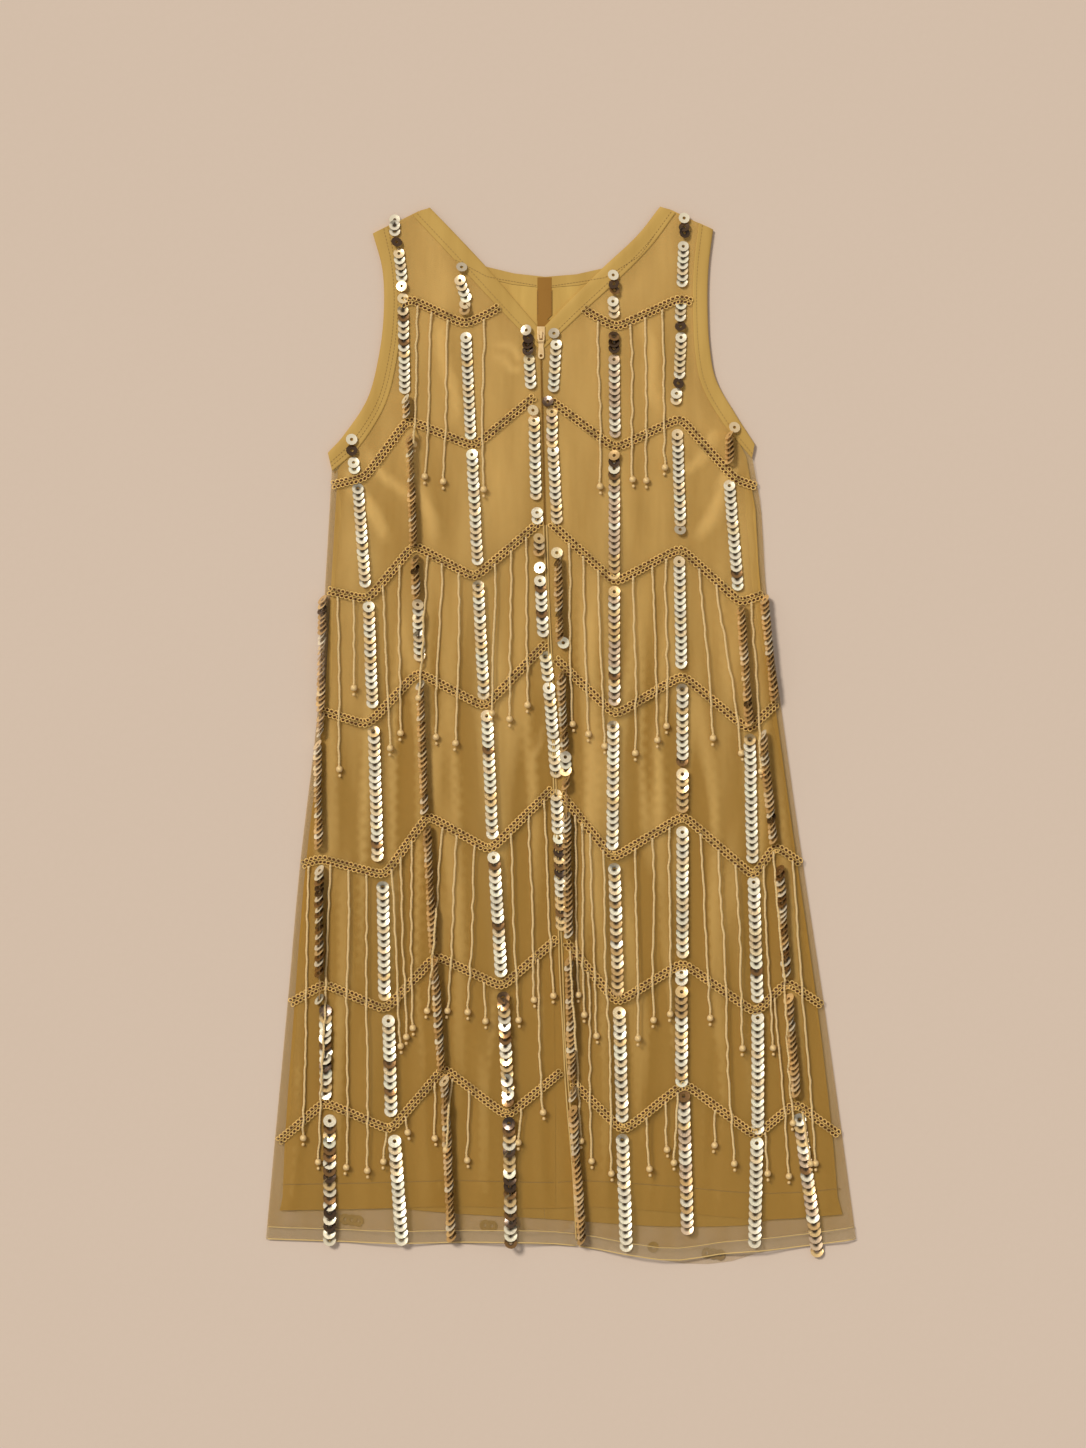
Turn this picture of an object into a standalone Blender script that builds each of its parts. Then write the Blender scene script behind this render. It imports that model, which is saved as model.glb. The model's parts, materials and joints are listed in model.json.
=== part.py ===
"""Sequin party dress, laid flat on its back.

A sleeveless A-line dress: an opaque lining under a sheer overlay that is open down the centre front,
bound V neck and armholes, a centre-front zip with a drop-shaped pull, and seven zigzag braids, five of
them with fringe. The dress lies face up on z = 0. +X is to the right as seen from the front, +Y runs
from hem to neck, and the origin is under the middle of the dress.

Panel places are given as x and drop: x is the distance from the middle, and drop is the distance below
the shoulder's highest point, as a pattern cutter measures. Working sizes are millimetres, and meshes
are made in metres.
"""

import math
from collections import namedtuple

import bmesh
import bpy
from mathutils import Matrix, Vector
from mathutils.bvhtree import BVHTree

MM = 0.001

# Main sizes
DRESS_LENGTH = 1057.0
SEAM_GAP = 0.3
LAYER_GAP = 0.3
CLOTH = 1.0
BINDING_CROWN = 0.5
FACING = 1.2
FACING_WIDTH = 11.0
TAPE = 0.8
TAPE_LEFT = -24.0
TAPE_RIGHT = -9.0
TAPE_TOP = 83.0
TAPE_LOW = 114.0
TAPE_CORNER = 6.0
HEM_EXTRA = 0.8
HEM_BAND = 13.0
CENTRE_GAP = 0.6

# Layers from the floor up, each the height of the layer's underside
OVERLAY_BACK_Z = 0.0
LINING_BACK_Z = OVERLAY_BACK_Z + CLOTH + LAYER_GAP
LINING_FRONT_Z = LINING_BACK_Z + CLOTH + LAYER_GAP
OVERLAY_FRONT_Z = LINING_FRONT_Z + CLOTH + LAYER_GAP
BINDING_TOP_Z = OVERLAY_FRONT_Z + CLOTH

Place = namedtuple("Place", "x drop")
Strip = namedtuple("Strip", "seam_x seam_drop edge_x edge_drop")
Fold = namedtuple("Fold", "top_x top_drop low_x low_drop half_width height")
Strand = namedtuple("Strand", "root_x tip_x tip_drop")
HemStep = namedtuple("HemStep", "below_lining offset lifted extra")

# Bound edges: the seam to the panel, and the free edge beside it, from the shoulder down
NECK_LEFT = (
    Strip(-147.0, 8.0, -131.0, 1.0),
    Strip(-115.0, 42.0, -103.0, 30.0),
    Strip(-86.5, 73.0, -74.0, 61.0),
    Strip(-58.5, 103.0, -47.0, 92.0),
    Strip(-20.3, 143.0, -20.3, 123.0),
)
NECK_RIGHT = (
    Strip(113.0, 6.0, 99.0, 0.0),
    Strip(87.5, 40.0, 76.0, 29.0),
    Strip(55.0, 73.0, 43.0, 60.0),
    Strip(19.0, 106.0, 8.0, 94.0),
    Strip(-19.7, 143.0, -19.7, 123.0),
)
ARMHOLE_LEFT = (
    Strip(-170.0, 18.0, -188.0, 27.0),
    Strip(-162.0, 62.0, -178.5, 63.0),
    Strip(-160.0, 103.0, -177.0, 103.0),
    Strip(-165.0, 150.0, -181.5, 146.0),
    Strip(-177.0, 197.0, -193.0, 191.0),
    Strip(-202.0, 238.0, -216.0, 227.0),
    Strip(-229.0, 263.0, -233.0, 246.0),
)
ARMHOLE_RIGHT = (
    Strip(139.0, 17.0, 152.0, 23.0),
    Strip(134.0, 60.0, 147.5, 60.0),
    Strip(133.0, 98.0, 146.5, 98.0),
    Strip(135.0, 142.0, 148.5, 139.0),
    Strip(142.0, 178.0, 155.0, 173.0),
    Strip(162.0, 214.0, 173.5, 206.0),
    Strip(191.0, 250.0, 193.5, 237.0),
)
BACK_NECK = (
    Place(-131.0, 1.0),
    Place(-124.0, 21.0),
    Place(-106.0, 43.0),
    Place(-74.0, 60.0),
    Place(-16.0, 70.0),
    Place(44.0, 61.0),
    Place(79.0, 39.0),
    Place(93.0, 19.0),
    Place(99.0, 0.0),
)

# Overlay edges below the armholes
SIDE_LEFT = (
    Place(-229.0, 263.0),
    Place(-236.0, 383.0),
    Place(-243.0, 503.0),
    Place(-261.0, 658.0),
    Place(-273.0, 793.0),
    Place(-286.0, 933.0),
    Place(-295.0, 1032.0),
)
SIDE_RIGHT = (
    Place(191.0, 250.0),
    Place(200.0, 300.0),
    Place(205.0, 385.0),
    Place(219.0, 493.0),
    Place(242.0, 658.0),
    Place(263.0, 798.0),
    Place(281.0, 928.0),
    Place(295.0, 1032.0),
)
CENTRE_FRONT = (
    Place(-20.0, 143.0),
    Place(-16.0, 313.0),
    Place(-9.0, 493.0),
    Place(-1.0, 728.0),
    Place(4.5, 855.0),
    Place(11.5, 947.0),
    Place(17.0, 1040.0),
)
LINING_CENTRE = (
    Place(-20.0, 143.0),
    Place(-16.0, 313.0),
    Place(-11.0, 493.0),
    Place(-7.0, 728.0),
    Place(-5.0, 1012.0),
)
BACK_CENTRE_X = -16.5
SIDE_POINTS = 14
CENTRE_POINTS = 12

# Hems, from left to right
HEM_POINTS = 12
HEM_CORNER_INSET = 1.0
LINING_SIDE_END = 990.0
OVERLAY_HEM = (
    Place(-295.0, 1032.0),
    Place(-161.0, 1036.0),
    Place(-41.0, 1035.0),
    Place(16.0, 1039.0),
    Place(71.0, 1048.0),
    Place(114.0, 1053.0),
    Place(167.0, 1046.0),
    Place(227.0, 1041.0),
    Place(295.0, 1032.0),
)
OVERLAY_BACK_HEM = (
    Place(-295.0, 1032.0),
    Place(-161.0, 1036.0),
    Place(16.0, 1039.0),
    Place(75.0, 1048.0),
    Place(118.0, 1056.0),
    Place(160.0, DRESS_LENGTH),
    Place(192.0, 1047.0),
    Place(295.0, 1032.0),
)
LINING_HEM = (
    Place(-282.0, 1003.0),
    Place(-173.0, 1001.0),
    Place(-113.0, 999.0),
    Place(-7.0, 1001.0),
    Place(21.0, 999.0),
    Place(115.0, 1005.0),
    Place(204.0, 1012.0),
    Place(282.0, 1007.0),
)
LINING_BACK_HEM = (
    Place(-282.0, 1002.0),
    Place(-173.0, 1001.0),
    Place(-110.0, 1006.0),
    Place(-8.0, 1012.0),
    Place(98.0, 1019.0),
    Place(186.0, 1018.0),
    Place(213.0, 1012.0),
    Place(282.0, 1005.0),
)

# How far the overlay reaches past the lining at the sides, as x against drop
SIDE_MARGIN = (
    Place(5.0, 250.0),
    Place(5.0, 700.0),
    Place(7.0, 850.0),
    Place(9.0, 930.0),
    Place(13.0, 1010.0),
)

# Grid of each overlay half, and the rows that take it down past the lining's hem to its own doubled hem
SIDE_ROWS = 17
ACROSS = 13
LEAST_RIM = 2.0
RIM_SHARE = 0.3
LINING_CLEARANCE = 1.0
LAST_LEVEL_DROP = 985.0
HEM_STEPS = (
    HemStep(True, 2.5, True, 0.0),
    HemStep(True, 9.0, False, 0.0),
    HemStep(False, HEM_BAND, False, 0.0),
    HemStep(False, HEM_BAND - 1.0, False, HEM_EXTRA),
    HemStep(False, 0.0, False, HEM_EXTRA),
)

# Soft ridges of the overlay; the valleys between them carry the darker strings of sequins
FOLDS = (
    Fold(-200.0, 270.0, -168.0, 1040.0, 46.0, 6.0),
    Fold(-85.0, 230.0, -50.0, 1045.0, 56.0, 7.0),
    Fold(50.0, 240.0, 76.0, 1050.0, 52.0, 6.5),
    Fold(118.0, 260.0, 122.0, 1060.0, 40.0, 3.5),
    Fold(150.0, 330.0, 194.0, 1050.0, 44.0, 7.0),
    Fold(207.0, 430.0, 278.0, 1045.0, 22.0, 4.5),
)
FOLD_START = 110.0
FOLD_TOP_SHARE = 0.55

# Braids across the overlay, left and right of the centre front, as places along each zigzag
BRAID_WIDTH = 8.5
BRAID_THICKNESS = 2.0
BRAID_STEP = 12.0
BRAID_EDGE_REACH = 0.3
BRAID_MIDDLE_REACH = 2.0
BRAIDS = {
    "braid_1_left": (Place(-158, 97), Place(-151, 92), Place(-96, 118), Place(-70, 106)),
    "braid_1_right": (Place(31, 108), Place(55, 121), Place(120, 91), Place(129, 95)),
    "braid_2_left": (
        Place(-227, 278), Place(-196, 271), Place(-153, 213), Place(-87, 240), Place(-28, 191),
    ),
    "braid_2_right": (
        Place(-11, 193), Place(54, 242), Place(119, 211), Place(174, 273), Place(193, 279),
    ),
    "braid_3_left": (
        Place(-231, 384), Place(-193, 393), Place(-147, 338), Place(-86, 371), Place(-21, 315),
    ),
    "braid_3_right": (
        Place(-9, 317), Place(54, 376), Place(119, 341), Place(179, 396), Place(200, 388),
    ),
    "braid_4_left": (
        Place(-238, 504), Place(-193, 518), Place(-143, 465), Place(-76, 500), Place(-16, 437),
    ),
    "braid_4_right": (
        Place(-4, 453), Place(54, 508), Place(121, 468), Place(187, 523), Place(214, 497),
    ),
    "braid_5_left": (
        Place(-257, 657), Place(-241, 651), Place(-176, 668), Place(-133, 608), Place(-71, 643),
        Place(-10, 583),
    ),
    "braid_5_right": (
        Place(1, 588), Place(52, 651), Place(122, 608), Place(192, 669), Place(214, 638), Place(238, 655),
    ),
    "braid_6_left": (
        Place(-269, 795), Place(-236, 776), Place(-175, 802), Place(-125, 748), Place(-59, 779),
        Place(-5, 732),
    ),
    "braid_6_right": (
        Place(6, 736), Place(56, 795), Place(121, 755), Place(194, 805), Place(226, 774), Place(259, 797),
    ),
    "braid_7_left": (
        Place(-281, 933), Place(-236, 894), Place(-170, 922), Place(-117, 860), Place(-54, 908),
        Place(-1, 865),
    ),
    "braid_7_right": (
        Place(13, 876), Place(62, 923), Place(123, 875), Place(194, 928), Place(234, 895), Place(276, 926),
    ),
}

# Fringe: where each strand leaves its braid, and where its bead hangs
STRAND_HALF_WIDTH = 1.3
STRAND_HEIGHT = 2.2
STRAND_STEP = 34.0
STRAND_LEAVE = 8.0
STRAND_TIP_SHARE = 0.7
ROOT_SINK = 1.4
BEAD_HALF_WIDTH = 2.7
BEAD_HEIGHT = 4.6
BEAD_LENGTH = 7.0
BEAD_WIDE_SHARES = (0.35, 0.7)
FRINGE = {
    "braid_1_left": (
        Strand(-143, -147, 238), Strand(-129, -136, 270), Strand(-113, -118, 275), Strand(-77, -78, 283),
    ),
    "braid_1_right": (
        Strand(37, 39, 280), Strand(69, 72, 273), Strand(84, 85, 274), Strand(101, 104, 261),
    ),
    "braid_3_left": (
        Strand(-223, -221, 562), Strand(-207, -206, 481), Strand(-178, -170, 541), Strand(-161, -161, 526),
        Strand(-133, -142, 491), Strand(-119, -125, 530), Strand(-102, -104, 536), Strand(-66, -68, 506),
        Strand(-50, -51, 512), Strand(-35, -33, 498),
    ),
    "braid_3_right": (
        Strand(8, 11, 517), Strand(22, 27, 527), Strand(37, 43, 539), Strand(72, 75, 546),
        Strand(91, 97, 533), Strand(105, 105, 519), Strand(138, 152, 531), Strand(155, 180, 546),
        Strand(190, 200, 564),
    ),
    "braid_5_left": (
        Strand(-252, -257, 930), Strand(-230, -242, 954), Strand(-212, -214, 959), Strand(-194, -193, 962),
        Strand(-169, -160, 838), Strand(-160, -154.5, 829), Strand(-149, -149, 820), Strand(-118, -133, 803),
        Strand(-104, -113, 803), Strand(-86, -93, 804), Strand(-50, -43, 812), Strand(-32, -27, 792),
        Strand(-17, -8, 788),
    ),
    "braid_5_right": (
        Strand(14, 16.5, 787), Strand(21, 23, 807), Strand(29, 35, 828), Strand(42, 51, 965),
        Strand(74, 77, 830), Strand(91, 93, 812), Strand(108, 109, 806), Strand(139, 149, 810),
        Strand(157, 172, 955), Strand(174, 182, 840), Strand(202, 211, 840), Strand(212, 232, 915),
        Strand(231, 254, 955),
    ),
    "braid_6_left": (Strand(-77, -75, 813), Strand(-23, -19, 904)),
    "braid_6_right": (Strand(9, 20, 933), Strand(27, 31, 953), Strand(213, 228, 968)),
    "braid_7_left": (
        Strand(-174, -178, 953), Strand(-155, -153, 924), Strand(-126, -125, 930), Strand(-108, -115, 941),
        Strand(-92, -93, 952), Strand(-40, -42, 934),
    ),
    "braid_7_right": (
        Strand(85, 87, 960), Strand(104, 105, 941), Strand(116, 113, 954), Strand(154, 154, 937),
        Strand(203, 205, 965), Strand(241, 248, 955),
    ),
}

# Zip slider and its pull, which turns about a crossbar under the slider's bridge
ZIP_X = -20.0
SLIDER_DROP = 126.5
SLIDER_WIDTH = 8.0
SLIDER_LENGTH = 13.0
SLIDER_THICKNESS = 1.6
SLIDER_BEVEL = 0.5
BRIDGE_WIDTH = 2.0
BRIDGE_REACH = 3.4
BRIDGE_POST = 1.1
BRIDGE_ROOM = 2.2
BRIDGE_ROOF = 0.9
BRIDGE_ROOF_LIFT = 0.05
BRIDGE_ROOF_LIP = 0.1
POST_SINK = 0.4
CROSSBAR_RADIUS = 0.7
CROSSBAR_INSET = 0.3
CROSSBAR_SIDES = 10
PULL_WIDTH = 6.6
PULL_ARM = 1.5
PULL_ARM_THICKNESS = 1.0
PULL_ARM_SINK = 0.3
PULL_THICKNESS = 1.2
PULL_WINDOW = 5.2
PULL_CRANK = 3.4
PULL_CRANK_LEVEL = 1.4
PULL_CRANK_HALF = 2.84
PULL_CRANK_THICKNESS = 1.1
PULL_CRANK_SINK = 0.05
PULL_WAIST_HALVES = (2.64, 2.38)
PULL_WAIST_STEP = 3.0
PULL_TIP_RADIUS = 3.04
PULL_REST_GAP = 0.1
PULL_LENGTH = 24.0
PULL_HOLE_RADIUS = 1.5
PULL_HOLE_SIDES = 12
PIVOT_DROP = SLIDER_DROP + 2.0

# Colours, roughness and metallic value of each material
LOOKS = {
    "overlay": ((0.53, 0.35, 0.11), 0.6, 0.0),
    "lining": ((0.45, 0.28, 0.08), 0.7, 0.0),
    "binding": ((0.51, 0.31, 0.09), 0.65, 0.0),
    "tape": ((0.38, 0.18, 0.03), 0.7, 0.0),
    "braid": ((0.60, 0.39, 0.14), 0.45, 0.3),
    "zip_metal": ((0.48, 0.40, 0.26), 0.35, 0.8),
}


class Profile:
    """A smooth curve through a short table, read as one value against another."""

    def __init__(self, pairs):
        self.keys = [key for key, _ in pairs]
        self.values = [value for _, value in pairs]

    def slope(self, index):
        low = max(index - 1, 0)
        high = min(index + 1, len(self.keys) - 1)
        return (self.values[high] - self.values[low]) / (self.keys[high] - self.keys[low])

    def __call__(self, key):
        key = min(max(key, self.keys[0]), self.keys[-1])
        index = 0
        while index < len(self.keys) - 2 and key > self.keys[index + 1]:
            index += 1
        span = self.keys[index + 1] - self.keys[index]
        t = (key - self.keys[index]) / span
        start, end = self.values[index], self.values[index + 1]
        leave, arrive = self.slope(index) * span, self.slope(index + 1) * span
        return (
            start * (1 + 2 * t) * (1 - t) ** 2
            + leave * t * (1 - t) ** 2
            + end * t * t * (3 - 2 * t)
            + arrive * t * t * (t - 1)
        )


def by_drop(places):
    """Return x as a smooth function of drop."""
    return Profile([(place.drop, place.x) for place in places])


def by_x(places):
    """Return drop as a smooth function of x."""
    return Profile([(place.x, place.drop) for place in places])


def drop_at(places, x):
    """Return the drop at some x of a line through places that run from left to right."""
    for start, end in zip(places, places[1:]):
        if start.x <= x <= end.x:
            return start.drop + (end.drop - start.drop) * (x - start.x) / (end.x - start.x)
    raise ValueError("no place at x = %s" % x)


def to_y(drop):
    """Return the y of a drop, with the dress centred on y = 0."""
    return DRESS_LENGTH / 2 - drop


def smooth(value):
    """Return a soft step from 0 to 1."""
    value = min(max(value, 0.0), 1.0)
    return value * value * (3 - 2 * value)


def fold_height(x, drop):
    """Return how far the overlay's folds lift it at a place."""
    total = 0.0
    for fold in FOLDS:
        along = (drop - fold.top_drop) / (fold.low_drop - fold.top_drop)
        centre = fold.top_x + (fold.low_x - fold.top_x) * along
        half_width = fold.half_width * (FOLD_TOP_SHARE + (1.0 - FOLD_TOP_SHARE) * smooth(along))
        across = abs(x - centre) / half_width
        if across < 1.0:
            rise = smooth((drop - fold.top_drop) / FOLD_START)
            total += fold.height * rise * (1.0 - smooth(across))
    return total


def strip_rows(stations, per_span):
    """Return smooth rows through a bound edge's stations, with some rows in each span."""
    columns = [Profile(list(enumerate(column))) for column in zip(*stations)]
    rows = []
    for span, count in enumerate(per_span):
        for step in range(count):
            rows.append(Strip(*[column(span + step / count) for column in columns]))
    rows.append(stations[-1])
    return rows


def collection_named(name):
    """Return a new collection linked to the scene."""
    collection = bpy.data.collections.new(name)
    bpy.context.scene.collection.children.link(collection)
    return collection


def material_named(name):
    """Return the named Principled material, made on first use."""
    found = bpy.data.materials.get(name)
    if found:
        return found
    colour, roughness, metallic = LOOKS[name]
    material = bpy.data.materials.new(name)
    material.use_nodes = True
    shader = material.node_tree.nodes["Principled BSDF"]
    shader.inputs["Base Color"].default_value = (*colour, 1.0)
    shader.inputs["Roughness"].default_value = roughness
    shader.inputs["Metallic"].default_value = metallic
    material.diffuse_color = (*colour, 1.0)
    return material


def add_object(name, data, collection, material):
    """Link an object of some mesh or curve data, with its material."""
    data.materials.append(material_named(material))
    made = bpy.data.objects.new(name, data)
    collection.objects.link(made)
    return made


def mesh_from(name, build):
    """Return a mesh that a build function fills through a bmesh, in metres."""
    bm = bmesh.new()
    build(bm)
    bmesh.ops.recalc_face_normals(bm, faces=bm.faces)
    bmesh.ops.scale(bm, vec=(MM, MM, MM), verts=bm.verts)
    mesh = bpy.data.meshes.new(name)
    bm.to_mesh(mesh)
    bm.free()
    return mesh


def loft_sections(bm, sections):
    """Add a closed bar through sections of equal point counts."""
    rings = [[bm.verts.new(point) for point in section] for section in sections]
    count = len(rings[0])
    for ring, following in zip(rings, rings[1:]):
        for corner in range(count):
            after = (corner + 1) % count
            bm.faces.new((ring[corner], ring[after], following[after], following[corner]))
    bm.faces.new(list(reversed(rings[0])))
    bm.faces.new(rings[-1])


def loft_wall(bm, rows, thicknesses):
    """Add a closed wall: a grid of underside points and the same points raised."""
    low = [[bm.verts.new(point) for point in row] for row in rows]
    high = []
    for row, thickness in zip(rows, thicknesses):
        high.append([bm.verts.new(point + Vector((0, 0, thickness))) for point in row])
    last_row, last_column = len(rows) - 1, len(rows[0]) - 1
    for i in range(last_row):
        for j in range(last_column):
            bm.faces.new((high[i][j], high[i + 1][j], high[i + 1][j + 1]))
            bm.faces.new((high[i][j], high[i + 1][j + 1], high[i][j + 1]))
            bm.faces.new((low[i][j], low[i + 1][j + 1], low[i + 1][j]))
            bm.faces.new((low[i][j], low[i][j + 1], low[i + 1][j + 1]))
    for i in range(last_row):
        bm.faces.new((low[i][0], low[i + 1][0], high[i + 1][0], high[i][0]))
        right_edge = (low[i][last_column], high[i][last_column])
        bm.faces.new((*right_edge, high[i + 1][last_column], low[i + 1][last_column]))
    for j in range(last_column):
        bm.faces.new((low[0][j], high[0][j], high[0][j + 1], low[0][j + 1]))
        bm.faces.new((low[last_row][j], low[last_row][j + 1], high[last_row][j + 1], high[last_row][j]))


def flat_panel(name, outline, bottom, thickness, collection, material):
    """Make a flat panel from an outline of places."""
    curve = bpy.data.curves.new(name, "CURVE")
    curve.dimensions = "2D"
    curve.fill_mode = "BOTH"
    curve.extrude = thickness / 2 * MM
    spline = curve.splines.new("POLY")
    spline.points.add(len(outline) - 1)
    for point, place in zip(spline.points, outline):
        point.co = (place.x * MM, to_y(place.drop) * MM, 0.0, 1.0)
    spline.use_cyclic_u = True
    panel = add_object(name, curve, collection, material)
    panel.location.z = (bottom + thickness / 2) * MM
    return panel


class Edges:
    """The dress's edge curves, which every panel shares."""

    def __init__(self):
        spans = (1, 1, 1, 1)
        self.neck = {"left": strip_rows(NECK_LEFT, spans), "right": strip_rows(NECK_RIGHT, spans)}
        spans = (1, 1, 1, 2, 2, 2)
        self.armhole = {"left": strip_rows(ARMHOLE_LEFT, spans), "right": strip_rows(ARMHOLE_RIGHT, spans)}
        self.side = {"left": by_drop(SIDE_LEFT), "right": by_drop(SIDE_RIGHT)}
        self.margin = Profile([(place.drop, place.x) for place in SIDE_MARGIN])
        self.centre = by_drop(CENTRE_FRONT)
        self.lining_centre = by_drop(LINING_CENTRE)
        self.hem = by_x(OVERLAY_HEM)
        self.back_hem = by_x(OVERLAY_BACK_HEM)
        self.lining_hem = by_x(LINING_HEM)
        self.lining_back_hem = by_x(LINING_BACK_HEM)

    def lowest_lining_hem(self, x):
        """Return the drop of the lower of the lining's two hems."""
        return max(self.lining_hem(x), self.lining_back_hem(x))

    def lining_side(self, side, drop):
        """Return the x of the lining's side edge."""
        inward = self.margin(drop) + LINING_CLEARANCE
        return self.side[side](drop) + (inward if side == "left" else -inward)

    def seam_places(self, side):
        """Return the armhole seam's places from the shoulder to the side."""
        return [Place(row.seam_x, row.seam_drop) for row in self.armhole[side]]


def side_drops(start, end, count):
    """Return evenly spaced drops between two drops, without the first."""
    return [start + (end - start) * step / count for step in range(1, count + 1)]


def overlay_rows(edges, side):
    """Return the front overlay's underside as rows of points, with each row's wall thickness."""
    sign = -1 if side == "left" else 1
    centre_shift = sign * CENTRE_GAP / 2
    seam = edges.seam_places(side)
    neck = edges.neck[side]
    under_arm = seam[-1].drop
    centre_drops = side_drops(neck[-1].seam_drop, under_arm, len(seam) - len(neck))
    inner = [Place(row.seam_x, row.seam_drop) for row in neck[:-1]]
    inner += [Place(edges.centre(drop) + centre_shift, drop) for drop in [neck[-1].seam_drop] + centre_drops]
    rows = [overlay_row(inside, outside, 0.0, sign) for inside, outside in zip(inner, seam)]
    for drop in side_drops(under_arm, LAST_LEVEL_DROP, SIDE_ROWS):
        inside = Place(edges.centre(drop) + centre_shift, drop)
        outside = Place(edges.side[side](drop), drop)
        rows.append(overlay_row(inside, outside, edges.margin(drop), sign))
    thicknesses = [CLOTH] * len(rows)
    fractions = [(point.x - rows[-1][0].x) / (rows[-1][-1].x - rows[-1][0].x) for point in rows[-1]]
    for step in HEM_STEPS:
        rows.append(hem_row(edges, side, fractions, step, centre_shift))
        thicknesses.append(CLOTH + step.extra)
    return rows, thicknesses


def overlay_row(inside, outside, margin, sign):
    """Return points across one overlay row, sinking past the lining's edge where it has a margin."""
    rim = max(margin, LEAST_RIM)
    rim_x = outside.x - sign * rim
    xs = [inside.x + (rim_x - inside.x) * step / ACROSS for step in range(ACROSS + 1)]
    xs += [rim_x + sign * rim * RIM_SHARE, outside.x]
    points = []
    for x in xs:
        drop = inside.drop + (outside.drop - inside.drop) * (x - inside.x) / (outside.x - inside.x)
        points.append(Vector((x, to_y(drop), OVERLAY_FRONT_Z + fold_height(x, drop))))
    if margin:
        points[-1].z = LINING_BACK_Z
    return points


def hem_row(edges, side, fractions, step, centre_shift):
    """Return one of the rows between the lining's hem and the overlay's own."""
    points = []
    drop = LAST_LEVEL_DROP
    for fraction in fractions:
        for _ in range(3):
            inner_x = edges.centre(drop) + centre_shift
            outer_x = edges.side[side](drop)
            x = inner_x + (outer_x - inner_x) * fraction
            if step.below_lining:
                drop = edges.lowest_lining_hem(x) + step.offset
            else:
                drop = edges.hem(x) - step.offset
        bottom = OVERLAY_FRONT_Z if step.lifted else LINING_BACK_Z
        points.append(Vector((x, to_y(drop), bottom + fold_height(x, drop))))
    points[-1].z = LINING_BACK_Z
    return points


def make_overlay_front(edges, side, collection):
    """Make one half of the sheer front, with its folds and doubled hem."""
    rows, thicknesses = overlay_rows(edges, side)
    name = "overlay_front_" + side
    mesh = mesh_from(name, lambda bm: loft_wall(bm, rows, thicknesses))
    return add_object(name, mesh, collection, "overlay")


def make_overlay_back(edges, collection):
    """Make the sheer back, which lies flat on the floor."""
    left_corner, right_corner = SIDE_LEFT[-1], SIDE_RIGHT[-1]
    outline = smooth_neck()
    outline += panel_side(edges, "right", edges.side["right"], right_corner.drop)
    outline += hem_places(
        edges.back_hem, right_corner.x - HEM_CORNER_INSET, left_corner.x + HEM_CORNER_INSET, 2 * HEM_POINTS)
    outline += reversed(panel_side(edges, "left", edges.side["left"], left_corner.drop))
    return flat_panel("overlay_back", outline, OVERLAY_BACK_Z, CLOTH, collection, "overlay")


def smooth_neck():
    """Return the back neck edge from left to right, as smooth places."""
    xs = Profile([(index, place.x) for index, place in enumerate(BACK_NECK)])
    drops = Profile([(index, place.drop) for index, place in enumerate(BACK_NECK)])
    steps = 2 * (len(BACK_NECK) - 1)
    return [Place(xs(step / 2), drops(step / 2)) for step in range(steps + 1)]


def panel_side(edges, side, side_x, end_drop):
    """Return the armhole seam and side of a panel, from the shoulder to its lower corner."""
    seam = edges.seam_places(side)
    under_arm = seam[-1].drop
    drops = [under_arm] + side_drops(under_arm, end_drop, SIDE_POINTS)
    return seam[:-1] + [Place(side_x(drop), drop) for drop in drops]


def hem_places(hem, start_x, end_x, count):
    """Return places along a hem, none of them below the dress's full length."""
    xs = [start_x + (end_x - start_x) * step / count for step in range(count + 1)]
    return [Place(x, min(hem(x), DRESS_LENGTH)) for x in xs]


def make_lining_front(edges, side, collection):
    """Make one half of the opaque front lining."""
    sign = -1 if side == "left" else 1
    shift = SEAM_GAP / 2 * sign
    neck = edges.neck[side]
    outline = [Place(row.seam_x, row.seam_drop) for row in neck[:-1]]
    point = neck[-1].seam_drop
    centre_drops = [point] + side_drops(point, LINING_SIDE_END, CENTRE_POINTS)
    outline += [Place(edges.lining_centre(drop) + shift, drop) for drop in centre_drops]
    corner = edges.lining_centre(LINING_HEM[0].drop) + shift
    outline += hem_places(edges.lining_hem, corner, lining_corner(sign), HEM_POINTS)
    outline += reversed(panel_side(edges, side, lambda drop: edges.lining_side(side, drop), LINING_SIDE_END))
    return flat_panel("lining_front_" + side, outline, LINING_FRONT_Z, CLOTH, collection, "lining")


def lining_corner(sign):
    """Return the x of the lining hem's outer corner."""
    return sign * (LINING_HEM[-1].x - HEM_CORNER_INSET)


def neck_offset(distance):
    """Return the back neck edge moved into the panel by a distance."""
    edge = smooth_neck()
    moved = []
    for index, place in enumerate(edge):
        before = edge[max(index - 1, 0)]
        after = edge[min(index + 1, len(edge) - 1)]
        along = Vector((after.x - before.x, after.drop - before.drop)).normalized()
        moved.append(Place(place.x - along.y * distance, place.drop + along.x * distance))
    return moved


def make_lining_back(edges, side, collection):
    """Make one half of the back lining, joined at the centre-back seam."""
    sign = -1 if side == "left" else 1
    seam_x = BACK_CENTRE_X + SEAM_GAP / 2 * sign
    whole_neck = neck_offset(FACING_WIDTH + SEAM_GAP)
    neck = [place for place in whole_neck if (place.x - seam_x) * sign > 0]
    if side == "right":
        neck.reverse()
    outline = neck + [Place(seam_x, drop_at(whole_neck, seam_x))]
    outline += hem_places(edges.lining_back_hem, seam_x, lining_corner(sign), HEM_POINTS)
    outline += reversed(panel_side(edges, side, lambda drop: edges.lining_side(side, drop), LINING_SIDE_END))
    return flat_panel("lining_back_" + side, outline, LINING_BACK_Z, CLOTH, collection, "lining")


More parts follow.
